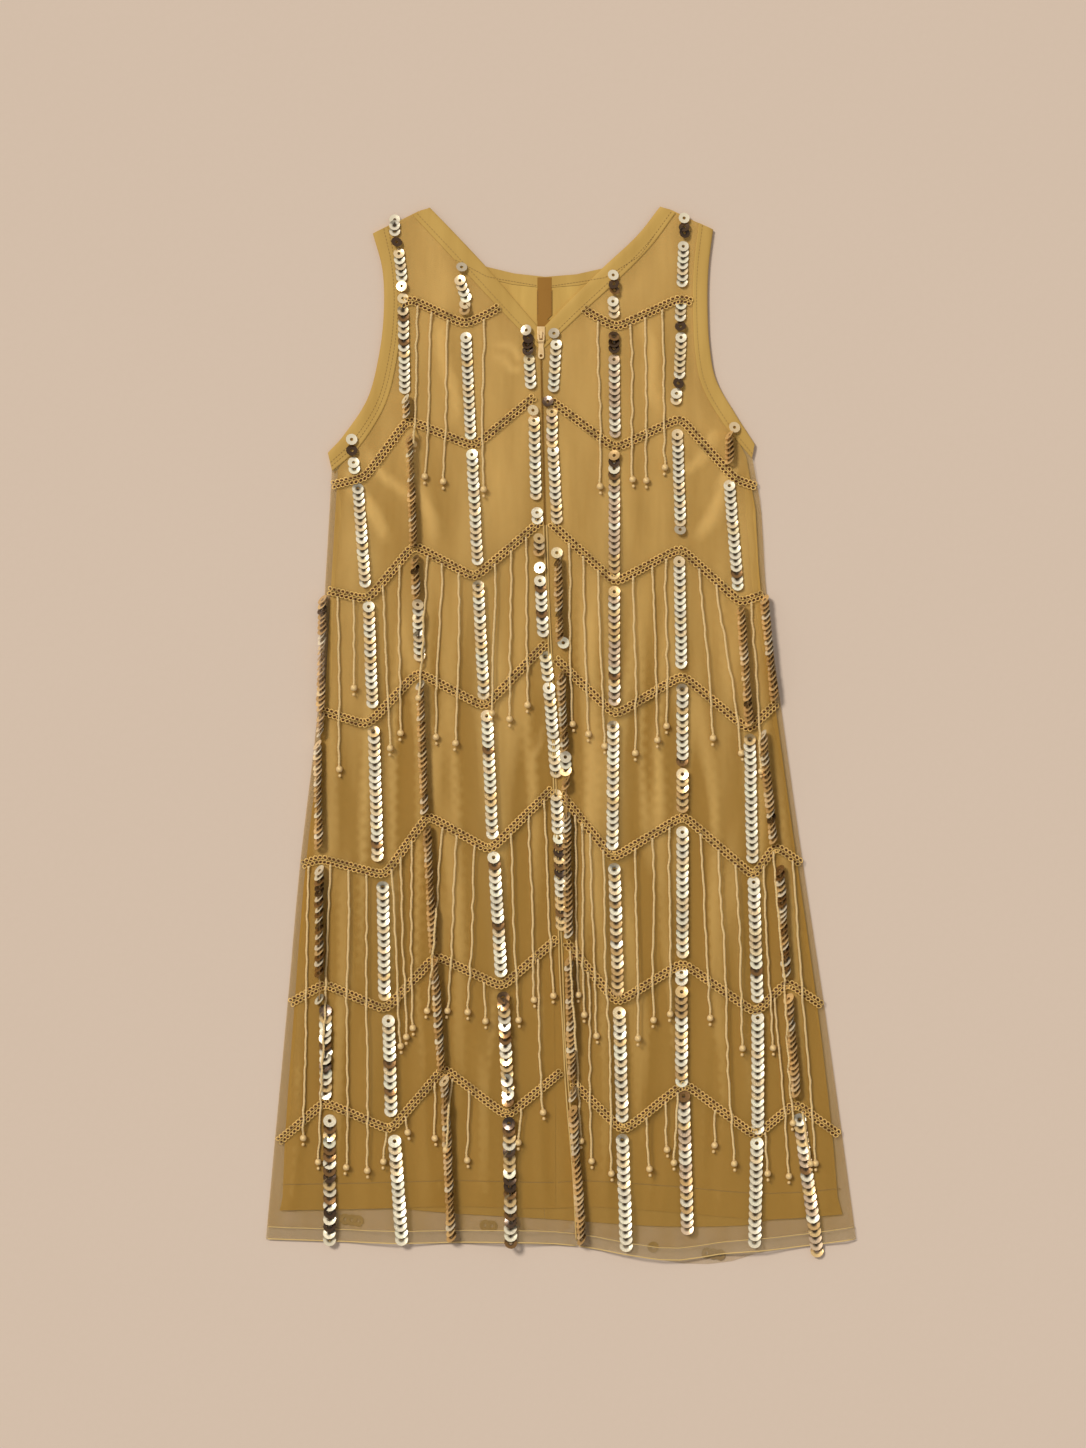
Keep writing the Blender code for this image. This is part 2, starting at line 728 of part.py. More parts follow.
def make_facing(collection):
    """Make the narrow facing inside the back neck."""
    outline = smooth_neck() + list(reversed(neck_offset(FACING_WIDTH)))
    return flat_panel("back_neck_facing", outline, LINING_BACK_Z, FACING, collection, "binding")


def make_tape(collection):
    """Make the tape over the centre-back seam."""
    outline = [
        Place(TAPE_LEFT, TAPE_TOP),
        Place(TAPE_RIGHT, TAPE_TOP),
        Place(TAPE_RIGHT, TAPE_LOW - TAPE_CORNER),
        Place(TAPE_RIGHT - TAPE_CORNER, TAPE_LOW),
        Place(TAPE_LEFT, TAPE_LOW),
    ]
    return flat_panel("back_seam_tape", outline, LINING_FRONT_Z, TAPE, collection, "tape")


def binding_sections(rows, bottom, top):
    """Return crowned sections of a binding, from its seam to its free edge."""
    sections = []
    for row in rows:
        seam = Vector((row.seam_x, to_y(row.seam_drop)))
        edge = Vector((row.edge_x, to_y(row.edge_drop)))
        inner = seam + (edge - seam).normalized() * SEAM_GAP
        middle = (inner + edge) / 2
        sections.append([
            Vector((*inner, bottom)), Vector((*edge, bottom)), Vector((*edge, top - BINDING_CROWN)),
            Vector((*middle, top)), Vector((*inner, top - BINDING_CROWN)),
        ])
    return sections


def make_binding(name, rows, bottom, top, collection):
    """Make a bound edge beside its panels."""
    mesh = mesh_from(name, lambda bm: loft_sections(bm, binding_sections(rows, bottom, top)))
    return add_object(name, mesh, collection, "binding")


class Relief:
    """The height of what lies on the floor, read straight down."""

    def __init__(self):
        self.trees = {}

    def add(self, name, mesh):
        """Remember a mesh by name, in millimetres."""
        points = [vertex.co / MM for vertex in mesh.vertices]
        faces = [tuple(polygon.vertices) for polygon in mesh.polygons]
        self.trees[name] = BVHTree.FromPolygons(points, faces)

    def top_of(self, name, x, y):
        """Return the height of one mesh's top at a place."""
        return self.trees[name].ray_cast(Vector((x, y, 100.0)), Vector((0, 0, -1)))[0].z

    def height(self, x, y, skip=()):
        """Return the highest surface under a place, or None past every edge."""
        highest = None
        for name, tree in self.trees.items():
            if name in skip:
                continue
            hit = tree.ray_cast(Vector((x, y, 100.0)), Vector((0, 0, -1)))[0]
            if hit is not None and (highest is None or hit.z > highest):
                highest = hit.z
        return highest


def resting_heights(relief, track, half_width, skip, samples=6):
    """Return a height for each point of a track that clears what lies under it and its neighbours."""
    span_tops = []
    for start, end in zip(track, track[1:]):
        top = 0.0
        side = Vector((-(end - start).y, (end - start).x)).normalized() * half_width
        for step in range(samples + 1):
            middle = start.lerp(end, step / samples)
            for place in (middle, middle - side, middle + side):
                found = relief.height(place.x, place.y, skip)
                top = max(top, found if found is not None else BINDING_TOP_Z)
        span_tops.append(top)
    heights = []
    for index in range(len(track)):
        near = span_tops[max(index - 1, 0):index + 1]
        heights.append(max(near) + LAYER_GAP)
    return heights


def braid_path(places):
    """Return evenly spaced points along a zigzag, with the sideways step at each."""
    corners = [Vector((place.x, to_y(place.drop))) for place in places]
    runs = [(end - start) for start, end in zip(corners, corners[1:])]
    normals = [Vector((-run.y, run.x)).normalized() for run in runs]
    path = []
    for index, (start, run) in enumerate(zip(corners, runs)):
        pieces = max(1, round(run.length / BRAID_STEP))
        for step in range(pieces):
            side = normals[index]
            if step == 0 and index > 0:
                side = mitre(normals[index - 1], normals[index])
            path.append((start + run * step / pieces, side))
    path.append((corners[-1], normals[-1]))
    return path


def mitre(before, after):
    """Return the sideways step at a corner, long enough to keep the width of both runs."""
    between = (before + after).normalized()
    return between / max(between.dot(after), 0.5)


def make_braid_mesh(name, relief):
    """Return a braid's mesh: a flat cord that follows the overlay's folds."""
    path = braid_path(BRAIDS[name])
    half = BRAID_WIDTH / 2
    left = [point + side * half for point, side in path]
    right = [point - side * half for point, side in path]
    left_z = resting_heights(relief, left, BRAID_EDGE_REACH, ())
    right_z = resting_heights(relief, right, BRAID_EDGE_REACH, ())
    centre_z = resting_heights(relief, [point for point, _ in path], BRAID_MIDDLE_REACH, ())
    thickness = Vector((0, 0, BRAID_THICKNESS))
    sections = []
    for a, b, a_z, b_z, middle_z in zip(left, right, left_z, right_z, centre_z):
        lift = max(middle_z - (a_z + b_z) / 2, 0.0)
        low_a = Vector((a.x, a.y, a_z + lift))
        low_b = Vector((b.x, b.y, b_z + lift))
        sections.append([low_a, low_b, low_b + thickness, low_a + thickness])
    return mesh_from(name, lambda bm: loft_sections(bm, sections))


def strand_sections(name, strand, relief):
    """Return the sections of one fringe strand, from inside its braid to the tip of its bead."""
    root = Vector((strand.root_x, to_y(drop_at(BRAIDS[name], strand.root_x))))
    tip = Vector((strand.tip_x, to_y(strand.tip_drop)))
    along = (tip - root).normalized()
    leave = root + along * STRAND_LEAVE
    neck = tip - along * BEAD_LENGTH
    pieces = max(1, round((neck - leave).length / STRAND_STEP))
    track = [root] + [leave.lerp(neck, step / pieces) for step in range(pieces + 1)]
    track += [neck + along * BEAD_LENGTH * share for share in BEAD_WIDE_SHARES] + [tip]
    heights = resting_heights(relief, track, BEAD_HALF_WIDTH, (name,))
    heights[0] = relief.top_of(name, root.x, root.y) - ROOT_SINK
    sizes = [(STRAND_HALF_WIDTH, STRAND_HEIGHT)] * (pieces + 2)
    sizes += [(BEAD_HALF_WIDTH, BEAD_HEIGHT)] * len(BEAD_WIDE_SHARES)
    sizes.append((STRAND_HALF_WIDTH * STRAND_TIP_SHARE, STRAND_HEIGHT))
    side = Vector((-along.y, along.x))
    sections = []
    for point, height, (half_width, tall) in zip(track, heights, sizes):
        left, right = point - side * half_width, point + side * half_width
        sections.append([Vector((*left, height)), Vector((*right, height)), Vector((*point, height + tall))])
    return sections


def hidden_tool(name, mesh, cutters, parent=None):
    """Link an object that only a Boolean uses."""
    tool = bpy.data.objects.new(name, mesh)
    cutters.objects.link(tool)
    tool.parent = parent
    tool.hide_render = True
    tool.display_type = "WIRE"
    return tool


def boolean(base, tool, operation):
    """Join a tool to an object, or cut it out of the object."""
    modifier = base.modifiers.new(tool.name, "BOOLEAN")
    modifier.operation = operation
    modifier.solver = "EXACT"
    modifier.object = tool


def make_braid(name, mesh, relief, collection, cutters):
    """Make a braid, and join its fringe to it at the roots."""
    braid = add_object(name, mesh, collection, "braid")
    if name not in FRINGE:
        return braid

    def build(bm):
        for strand in FRINGE[name]:
            loft_sections(bm, strand_sections(name, strand, relief))

    fringe = mesh_from(name + "_fringe", build)
    boolean(braid, hidden_tool(fringe.name, fringe, cutters), "UNION")
    return braid


def box_mesh(name, centre, size):
    """Return the mesh of a box, from its centre and size in millimetres."""
    def build(bm):
        bmesh.ops.create_cube(bm, size=1.0)
        bmesh.ops.scale(bm, vec=size, verts=bm.verts)
        bmesh.ops.translate(bm, vec=centre, verts=bm.verts)

    return mesh_from(name, build)


def rod_mesh(name, radius, length, sides, turn, centre):
    """Return the mesh of an upright rod, turned by a matrix and then moved to a centre."""
    def build(bm):
        bmesh.ops.create_cone(
            bm, cap_ends=True, segments=sides, radius1=radius, radius2=radius, depth=length)
        bmesh.ops.rotate(bm, matrix=turn, verts=bm.verts)
        bmesh.ops.translate(bm, vec=centre, verts=bm.verts)

    return mesh_from(name, build)


def make_slider(collection, cutters):
    """Make the zip slider: a rounded body with a bridge that holds the pull's crossbar."""
    floor = BINDING_TOP_Z + LAYER_GAP
    centre = (ZIP_X, to_y(SLIDER_DROP), floor + SLIDER_THICKNESS / 2)
    body = box_mesh("zip_slider", centre, (SLIDER_WIDTH, SLIDER_LENGTH, SLIDER_THICKNESS))
    slider = add_object("zip_slider", body, collection, "zip_metal")
    bevel = slider.modifiers.new("round", "BEVEL")
    bevel.width = SLIDER_BEVEL * MM
    bevel.segments = 2
    pivot_y = to_y(PIVOT_DROP)
    body_top = floor + SLIDER_THICKNESS
    post_bottom = body_top - POST_SINK
    post_top = body_top + BRIDGE_ROOM + BRIDGE_ROOF
    for name, way in (("bridge_top_post", 1), ("bridge_low_post", -1)):
        post_y = pivot_y + way * (BRIDGE_REACH - BRIDGE_POST / 2)
        centre = (ZIP_X, post_y, (post_bottom + post_top) / 2)
        post = box_mesh(name, centre, (BRIDGE_WIDTH, BRIDGE_POST, post_top - post_bottom))
        boolean(slider, hidden_tool(name, post, cutters), "UNION")
    centre = (ZIP_X, pivot_y, post_top - BRIDGE_ROOF / 2 + BRIDGE_ROOF_LIFT)
    size = (BRIDGE_WIDTH + 2 * BRIDGE_ROOF_LIP, 2 * (BRIDGE_REACH + BRIDGE_ROOF_LIP), BRIDGE_ROOF)
    boolean(slider, hidden_tool("bridge_roof", box_mesh("bridge_roof", centre, size), cutters), "UNION")
    return slider


def pull_outline(steps=8):
    """Return the outline of the pull's tab as local x and y, from its crank to its round tip."""
    top = -(PULL_WINDOW + PULL_WAIST_STEP)
    wide, narrow = PULL_WAIST_HALVES
    points = [(-wide, top), (-narrow, top - PULL_WAIST_STEP)]
    centre_y = PULL_TIP_RADIUS - PULL_LENGTH
    for step in range(steps + 1):
        angle = math.pi + math.pi * step / steps
        points.append((PULL_TIP_RADIUS * math.cos(angle), centre_y + PULL_TIP_RADIUS * math.sin(angle)))
    points += [(narrow, top - PULL_WAIST_STEP), (wide, top)]
    return points


def tab_mesh(bottom):
    """Return the mesh of the pull's flat tab."""
    def build(bm):
        face = bm.faces.new([bm.verts.new((x, y, bottom)) for x, y in pull_outline()])
        made = bmesh.ops.extrude_face_region(bm, geom=[face])["geom"]
        raised = [part for part in made if isinstance(part, bmesh.types.BMVert)]
        bmesh.ops.translate(bm, vec=(0, 0, PULL_THICKNESS), verts=raised)

    return mesh_from("zip_pull", build)


def crank_mesh(tab_bottom):
    """Return the mesh of the short slope from the pull's window down to its tab."""
    level = -PULL_THICKNESS / 2
    stations = (
        (-PULL_WINDOW, level),
        (-PULL_WINDOW - PULL_CRANK_LEVEL, level),
        (-PULL_WINDOW - PULL_CRANK, tab_bottom + PULL_CRANK_SINK),
    )
    half = PULL_CRANK_HALF
    sections = []
    for y, z in stations:
        top = z + PULL_CRANK_THICKNESS
        corners = ((-half, z), (half, z), (half, top), (-half, top))
        sections.append([Vector((x, y, height)) for x, height in corners])
    return mesh_from("pull_crank", lambda bm: loft_sections(bm, sections))


def make_pull(collection, cutters):
    """Make the drop-shaped pull, on an empty at its crossbar."""
    floor = BINDING_TOP_Z + LAYER_GAP
    pivot_z = floor + SLIDER_THICKNESS + BRIDGE_ROOM / 2
    pivot = bpy.data.objects.new("pull_pivot", None)
    pivot.location = (ZIP_X * MM, to_y(PIVOT_DROP) * MM, pivot_z * MM)
    collection.objects.link(pivot)
    tab_bottom = floor + PULL_REST_GAP - pivot_z
    pull = add_object("zip_pull", tab_mesh(tab_bottom), collection, "zip_metal")
    pull.parent = pivot
    joined = {"pull_crank": crank_mesh(tab_bottom)}
    arm_size = (PULL_ARM, PULL_WINDOW + 2 * PULL_ARM_SINK, PULL_ARM_THICKNESS)
    for name, way in (("pull_arm_left", -1), ("pull_arm_right", 1)):
        centre = (way * (PULL_WIDTH - PULL_ARM) / 2, -(PULL_WINDOW + PULL_ARM_SINK) / 2, 0.0)
        joined[name] = box_mesh(name, centre, arm_size)
    across = Matrix.Rotation(math.pi / 2, 3, "Y")
    bar_length = PULL_WIDTH - 2 * CROSSBAR_INSET
    joined["pull_crossbar"] = rod_mesh(
        "pull_crossbar", CROSSBAR_RADIUS, bar_length, CROSSBAR_SIDES, across, (0.0, 0.0, 0.0))
    for name, mesh in joined.items():
        boolean(pull, hidden_tool(name, mesh, cutters, pivot), "UNION")
    centre = (0.0, PULL_WIDTH / 2 - PULL_LENGTH, tab_bottom + PULL_THICKNESS / 2)
    hole = rod_mesh(
        "pull_hole", PULL_HOLE_RADIUS, 2 * PULL_THICKNESS, PULL_HOLE_SIDES, Matrix.Identity(3), centre)
    boolean(pull, hidden_tool("pull_hole", hole, cutters, pivot), "DIFFERENCE")
    return pull


def main():
    """Build the whole dress."""
    for existing in list(bpy.data.objects):
        bpy.data.objects.remove(existing)
    dress = collection_named("sequin_party_dress")
    cutters = collection_named("cutters")
    edges = Edges()
    relief = Relief()
    make_overlay_back(edges, dress)
    make_facing(dress)
    make_tape(dress)
    for side in ("left", "right"):
        make_lining_back(edges, side, dress)
        make_lining_front(edges, side, dress)
        overlay = make_overlay_front(edges, side, dress)
        relief.add(overlay.name, overlay.data)
        make_binding("neck_binding_" + side, edges.neck[side], LINING_FRONT_Z, BINDING_TOP_Z, dress)
        armhole = edges.armhole[side]
        make_binding("armhole_binding_front_" + side, armhole, LINING_FRONT_Z, BINDING_TOP_Z, dress)
        make_binding("armhole_binding_back_" + side, armhole, OVERLAY_BACK_Z, LINING_BACK_Z + CLOTH, dress)
    meshes = {name: make_braid_mesh(name, relief) for name in BRAIDS}
    for name, mesh in meshes.items():
        relief.add(name, mesh)
    for name, mesh in meshes.items():
        make_braid(name, mesh, relief, dress, cutters)
    make_slider(dress, cutters)
    make_pull(dress, cutters)


if __name__ == "__main__":
    main()
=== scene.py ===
"""Looks of the sequin party dress, laid flat on its back.

The cloth panels, bindings, braids, fringe, strings of sequins, stitching and finishes are made here over
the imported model. Panel places are x, the distance from the middle, and drop, the distance below the
shoulder's highest point, both in millimetres; meshes are made in metres.
"""

from __future__ import annotations

import json
import logging
import math
import random
from dataclasses import dataclass
from enum import Enum
from typing import NamedTuple, Sequence, Union

import bmesh
import bpy
from mathutils import Matrix, Vector, noise
from mathutils.bvhtree import BVHTree
from mathutils.geometry import delaunay_2d_cdt
from mathutils.kdtree import KDTree

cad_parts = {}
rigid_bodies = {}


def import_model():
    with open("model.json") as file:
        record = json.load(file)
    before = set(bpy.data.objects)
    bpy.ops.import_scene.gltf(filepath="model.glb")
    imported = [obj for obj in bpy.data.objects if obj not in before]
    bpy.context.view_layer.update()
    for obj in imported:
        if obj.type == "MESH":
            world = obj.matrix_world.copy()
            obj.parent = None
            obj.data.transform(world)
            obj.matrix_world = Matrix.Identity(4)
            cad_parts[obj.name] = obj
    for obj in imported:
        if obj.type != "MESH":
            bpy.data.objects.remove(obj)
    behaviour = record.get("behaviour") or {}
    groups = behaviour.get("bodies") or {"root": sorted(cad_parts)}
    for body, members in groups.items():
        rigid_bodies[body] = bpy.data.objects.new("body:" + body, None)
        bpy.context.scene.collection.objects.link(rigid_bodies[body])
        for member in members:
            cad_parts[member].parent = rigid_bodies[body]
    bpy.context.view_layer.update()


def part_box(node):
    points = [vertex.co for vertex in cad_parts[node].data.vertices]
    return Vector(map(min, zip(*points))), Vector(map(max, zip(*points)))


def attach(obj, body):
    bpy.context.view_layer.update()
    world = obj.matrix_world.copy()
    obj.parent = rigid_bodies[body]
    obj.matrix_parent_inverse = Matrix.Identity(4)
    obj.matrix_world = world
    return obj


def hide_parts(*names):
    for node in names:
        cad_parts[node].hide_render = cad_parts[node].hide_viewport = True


LOG = logging.getLogger("dress")
MM = 0.001
DRESS_LENGTH = 1057.0
HIGH = 0.1
FACES_UP = 0.25
STITCH_LIFT = 0.12
SIDES = ("left", "right")
UP = Vector((0.0, 0.0, 1.0))
MIDDLE = (0.0, 0.0, 0.0)

Colour = tuple[float, float, float, float]
Triple = tuple[float, float, float]
PLAIN: Colour = (1.0, 1.0, 1.0, 1.0)


class Place(NamedTuple):
    """A place on the dress, in millimetres."""

    x: float
    drop: float


class Strip(NamedTuple):
    """One station of a bound edge: the seam to the panel, and the free edge beside it."""

    seam_x: float
    seam_drop: float
    edge_x: float
    edge_drop: float


class Strand(NamedTuple):
    """One strand of fringe: where it leaves its braid, and where its bead hangs."""

    root_x: float
    tip_x: float
    tip_drop: float


class Crease(NamedTuple):
    """A soft ridge between two places, in millimetres."""

    top_x: float
    top_drop: float
    low_x: float
    low_drop: float
    half_width: float
    height: float


class Lay(Enum):
    """How a string of sequins lies."""

    FLAT = "flat"
    LOOSE = "loose"
    EDGE = "edge"


class Tone(Enum):
    """Which sequins a string holds; its lighter and darker mixes are partly painted highlight and painted
    shade.
    """

    BRIGHT = "bright"
    GOLD = "gold"
    PINK = "pink"
    BROWN = "brown"
    DARK = "dark"
    MIXED = "mixed"
    CLEAR = "clear"


class Run(NamedTuple):
    """One unbroken run of a string of sequins."""

    top_x: float
    top_drop: float
    low_x: float
    low_drop: float
    lay: Lay
    tone: Tone


FLAT, LOOSE, EDGE = Lay
BRIGHT, GOLD, PINK, BROWN, DARK, MIXED, CLEAR = Tone

# Bound edges, from the shoulder down
NECK = {
    "left": (
        Strip(-147, 8, -131, 1), Strip(-115, 42, -103, 30), Strip(-86.5, 73, -74, 61),
        Strip(-58.5, 103, -47, 92), Strip(-20.3, 143, -20.3, 123),
    ),
    "right": (
        Strip(113, 6, 99, 0), Strip(87.5, 40, 76, 29), Strip(55, 73, 43, 60), Strip(19, 106, 8, 94),
        Strip(-19.7, 143, -19.7, 123),
    ),
}
ARMHOLE = {
    "left": (
        Strip(-170, 18, -188, 27), Strip(-162, 62, -178.5, 63), Strip(-160, 103, -177, 103),
        Strip(-165, 150, -181.5, 146), Strip(-177, 197, -193, 191), Strip(-202, 238, -216, 227),
        Strip(-229, 263, -233, 246),
    ),
    "right": (
        Strip(139, 17, 152, 23), Strip(134, 60, 147.5, 60), Strip(133, 98, 146.5, 98),
        Strip(135, 142, 148.5, 139), Strip(142, 178, 155, 173), Strip(162, 214, 173.5, 206),
        Strip(191, 250, 193.5, 237),
    ),
}
BACK_NECK = (
    Place(-131, 1), Place(-124, 21), Place(-106, 43), Place(-74, 60), Place(-16, 70),
    Place(44, 61), Place(79, 39), Place(93, 19), Place(99, 0),
)
CENTRE_FRONT = (
    Place(-20, 143), Place(-16, 313), Place(-9, 493), Place(-1, 728), Place(4.5, 855),
    Place(11.5, 947), Place(17, 1036),
)

# Soft creases of the cloth, beyond the model's own folds
CREASES = (
    Crease(-62, 136, -38, 150, 5, 0.9), Crease(-66, 152, -40, 166, 6, 0.8),
    Crease(-20, 522, -31, 600, 6, 1.6), Crease(-152, 232, -128, 330, 10, 1.4),
    Crease(-214, 262, -176, 330, 11, 1.6), Crease(-196, 246, -150, 296, 8, 1),
    Crease(176, 258, 140, 330, 10, 1.5), Crease(158, 226, 126, 268, 8, 1),
    Crease(-112, 610, -96, 860, 10, 1.5), Crease(-216, 640, -222, 1000, 13, 2),
    Crease(96, 520, 104, 760, 9, 1.5), Crease(28, 430, 34, 700, 10, 1.4),
    Crease(150, 640, 168, 980, 11, 1.9), Crease(222, 560, 246, 900, 9, 1.6),
    Crease(-22, 760, -16, 1020, 9, 1.6), Crease(40, 800, 46, 1030, 9, 1.5),
    Crease(-140, 800, -128, 1030, 10, 1.7), Crease(82, 860, 88, 1040, 8, 1.2),
    Crease(-262, 840, -272, 1030, 10, 1.6), Crease(-120, 120, -104, 214, 9, 0.9),
    Crease(84, 112, 96, 200, 9, 0.9),
)

# Strings of sequins, from the left of the picture to its right, as runs between the braids
STRINGS: dict[str, tuple[Run, ...]] = {
    "a": (
        Run(-238, 393, -240, 528, EDGE, BROWN), Run(-243, 538, -241, 651, EDGE, BROWN),
        Run(-241, 663, -241, 793, EDGE, MIXED), Run(-235, 803, -235, 893, LOOSE, MIXED),
        Run(-231, 913, -231, 1033, LOOSE, MIXED),
    ),
    "b": (
        Run(-209, 233, -209, 234, LOOSE, BRIGHT), Run(-209, 244, -209, 247, LOOSE, DARK),
        Run(-207, 256, -206, 265, FLAT, BRIGHT), Run(-203, 276, -195, 386, FLAT, GOLD),
        Run(-192, 400, -188, 504, FLAT, GOLD), Run(-187, 518, -183, 653, FLAT, GOLD),
        Run(-178, 673, -176, 793, FLAT, GOLD), Run(-172, 813, -169, 923, FLAT, BRIGHT),
        Run(-166, 933, -159, 1033, FLAT, BRIGHT),
    ),
    "c": (
        Run(-166, 13, -166, 27, FLAT, BRIGHT), Run(-164, 36, -164, 38, LOOSE, DARK),
        Run(-162, 47, -159, 72, FLAT, BRIGHT), Run(-159, 80, -159, 82, LOOSE, CLEAR),
        Run(-158, 92, -156, 186, FLAT, GOLD), Run(-155, 193, -153, 218, EDGE, MIXED),
        Run(-151, 232, -147, 338, EDGE, BROWN), Run(-146, 348, -144, 392, EDGE, BROWN),
        Run(-143, 398, -141, 453, LOOSE, GOLD), Run(-141, 463, -136, 603, EDGE, BROWN),
        Run(-134, 613, -127, 748, EDGE, BROWN), Run(-126, 755, -119, 865, EDGE, BROWN),
        Run(-116, 873, -109, 1033, EDGE, BROWN),
    ),
    "d": (
        Run(-99, 61, -99, 63, LOOSE, CLEAR), Run(-101, 74, -95, 91, FLAT, BRIGHT),
        Run(-96, 98, -96, 105, LOOSE, BROWN), Run(-95, 121, -95, 122, LOOSE, DARK),
        Run(-95, 131, -90, 238, FLAT, GOLD), Run(-89, 248, -83, 363, FLAT, GOLD),
        Run(-83, 373, -77, 493, FLAT, GOLD), Run(-76, 500, -75, 502, LOOSE, DARK),
        Run(-74, 509, -68, 638, FLAT, GOLD), Run(-67, 650, -59, 778, FLAT, BRIGHT),
        Run(-58, 783, -52, 903, LOOSE, MIXED), Run(-52, 908, -50, 1038, LOOSE, MIXED),
    ),
    "e": (
        Run(-35, 124, -35, 126, LOOSE, CLEAR), Run(-33, 132, -33, 146, LOOSE, DARK),
        Run(-32, 153, -30, 183, FLAT, BRIGHT), Run(-29, 195, -29, 197, LOOSE, DARK),
        Run(-28, 204, -28, 206, LOOSE, CLEAR), Run(-27, 214, -25, 293, FLAT, GOLD),
        Run(-24, 306, -23, 322, FLAT, BRIGHT), Run(-22, 332, -22, 350, LOOSE, BROWN),
        Run(-21, 361, -21, 366, LOOSE, BRIGHT), Run(-21, 374, -18, 428, FLAT, BRIGHT),
        Run(-17, 437, -13, 473, FLAT, BRIGHT), Run(-12, 481, -5, 568, FLAT, GOLD),
        Run(-5, 588, -3, 623, FLAT, GOLD), Run(-2, 631, 1, 723, FLAT, MIXED),
    ),
    "f": (
        Run(-7, 127, -7, 129, LOOSE, CLEAR), Run(-5, 138, -8, 186, FLAT, GOLD),
        Run(-13, 195, -13, 197, LOOSE, DARK), Run(-9, 205, -9, 238, FLAT, PINK),
        Run(-8, 244, -4, 318, FLAT, GOLD), Run(-4, 346, -4, 348, FLAT, BRIGHT),
        Run(-3, 355, -1, 433, EDGE, BROWN), Run(2, 436, 4, 442, LOOSE, BRIGHT),
        Run(-1, 448, 4, 543, EDGE, BROWN), Run(4, 550, 5, 566, LOOSE, GOLD),
        Run(5, 573, 8, 743, EDGE, BROWN), Run(8, 753, 12, 893, EDGE, BROWN),
        Run(12, 903, 21, 1033, EDGE, BROWN),
    ),
    "g": (
        Run(52, 69, 52, 71, LOOSE, CLEAR), Run(53, 78, 53, 86, LOOSE, DARK),
        Run(52, 95, 53, 109, FLAT, BRIGHT), Run(53, 124, 53, 143, LOOSE, DARK),
        Run(53, 153, 54, 238, FLAT, PINK), Run(53, 249, 53, 256, LOOSE, BROWN),
        Run(53, 262, 53, 371, FLAT, PINK), Run(53, 385, 53, 503, FLAT, PINK),
        Run(52, 513, 51, 643, FLAT, GOLD), Run(53, 655, 57, 793, FLAT, BROWN),
        Run(58, 805, 61, 913, FLAT, GOLD), Run(61, 925, 65, 1044, FLAT, BRIGHT),
    ),
    "h": (
        Run(123, 12, 123, 13, LOOSE, GOLD), Run(123, 21, 123, 31, LOOSE, DARK),
        Run(122, 40, 121, 77, FLAT, BRIGHT), Run(120, 92, 119, 112, FLAT, BRIGHT),
        Run(119, 120, 119, 121, LOOSE, DARK), Run(120, 131, 118, 168, FLAT, BRIGHT),
        Run(117, 177, 117, 178, LOOSE, DARK), Run(115, 187, 115, 199, FLAT, GOLD),
        Run(116, 214, 116, 216, LOOSE, DARK), Run(116, 228, 119, 316, FLAT, BRIGHT),
        Run(119, 323, 119, 325, LOOSE, CLEAR), Run(118, 344, 118, 346, LOOSE, CLEAR),
        Run(118, 355, 120, 463, FLAT, BRIGHT), Run(121, 476, 121, 560, FLAT, GOLD),
        Run(121, 567, 121, 606, LOOSE, BROWN), Run(121, 625, 121, 748, FLAT, BRIGHT),
        Run(120, 765, 120, 776, FLAT, BRIGHT), Run(120, 784, 120, 876, FLAT, BROWN),
        Run(122, 888, 126, 1022, FLAT, PINK),
    ),
    "i": (
        Run(173, 221, 173, 223, LOOSE, CLEAR), Run(168, 229, 168, 262, EDGE, BROWN),
        Run(168, 279, 177, 386, FLAT, GOLD), Run(179, 398, 188, 518, EDGE, BROWN),
        Run(188, 526, 191, 663, FLAT, GOLD), Run(192, 675, 196, 798, FLAT, BRIGHT),
        Run(196, 810, 196, 923, FLAT, GOLD), Run(195, 935, 193, 1039, FLAT, BRIGHT),
    ),
    "j": (
        Run(203, 393, 214, 500, EDGE, BROWN), Run(201, 528, 213, 643, EDGE, BROWN),
        Run(218, 663, 226, 783, EDGE, MIXED), Run(227, 791, 235, 893, EDGE, BROWN),
        Run(237, 905, 256, 1045, FLAT, PINK),
    ),
}

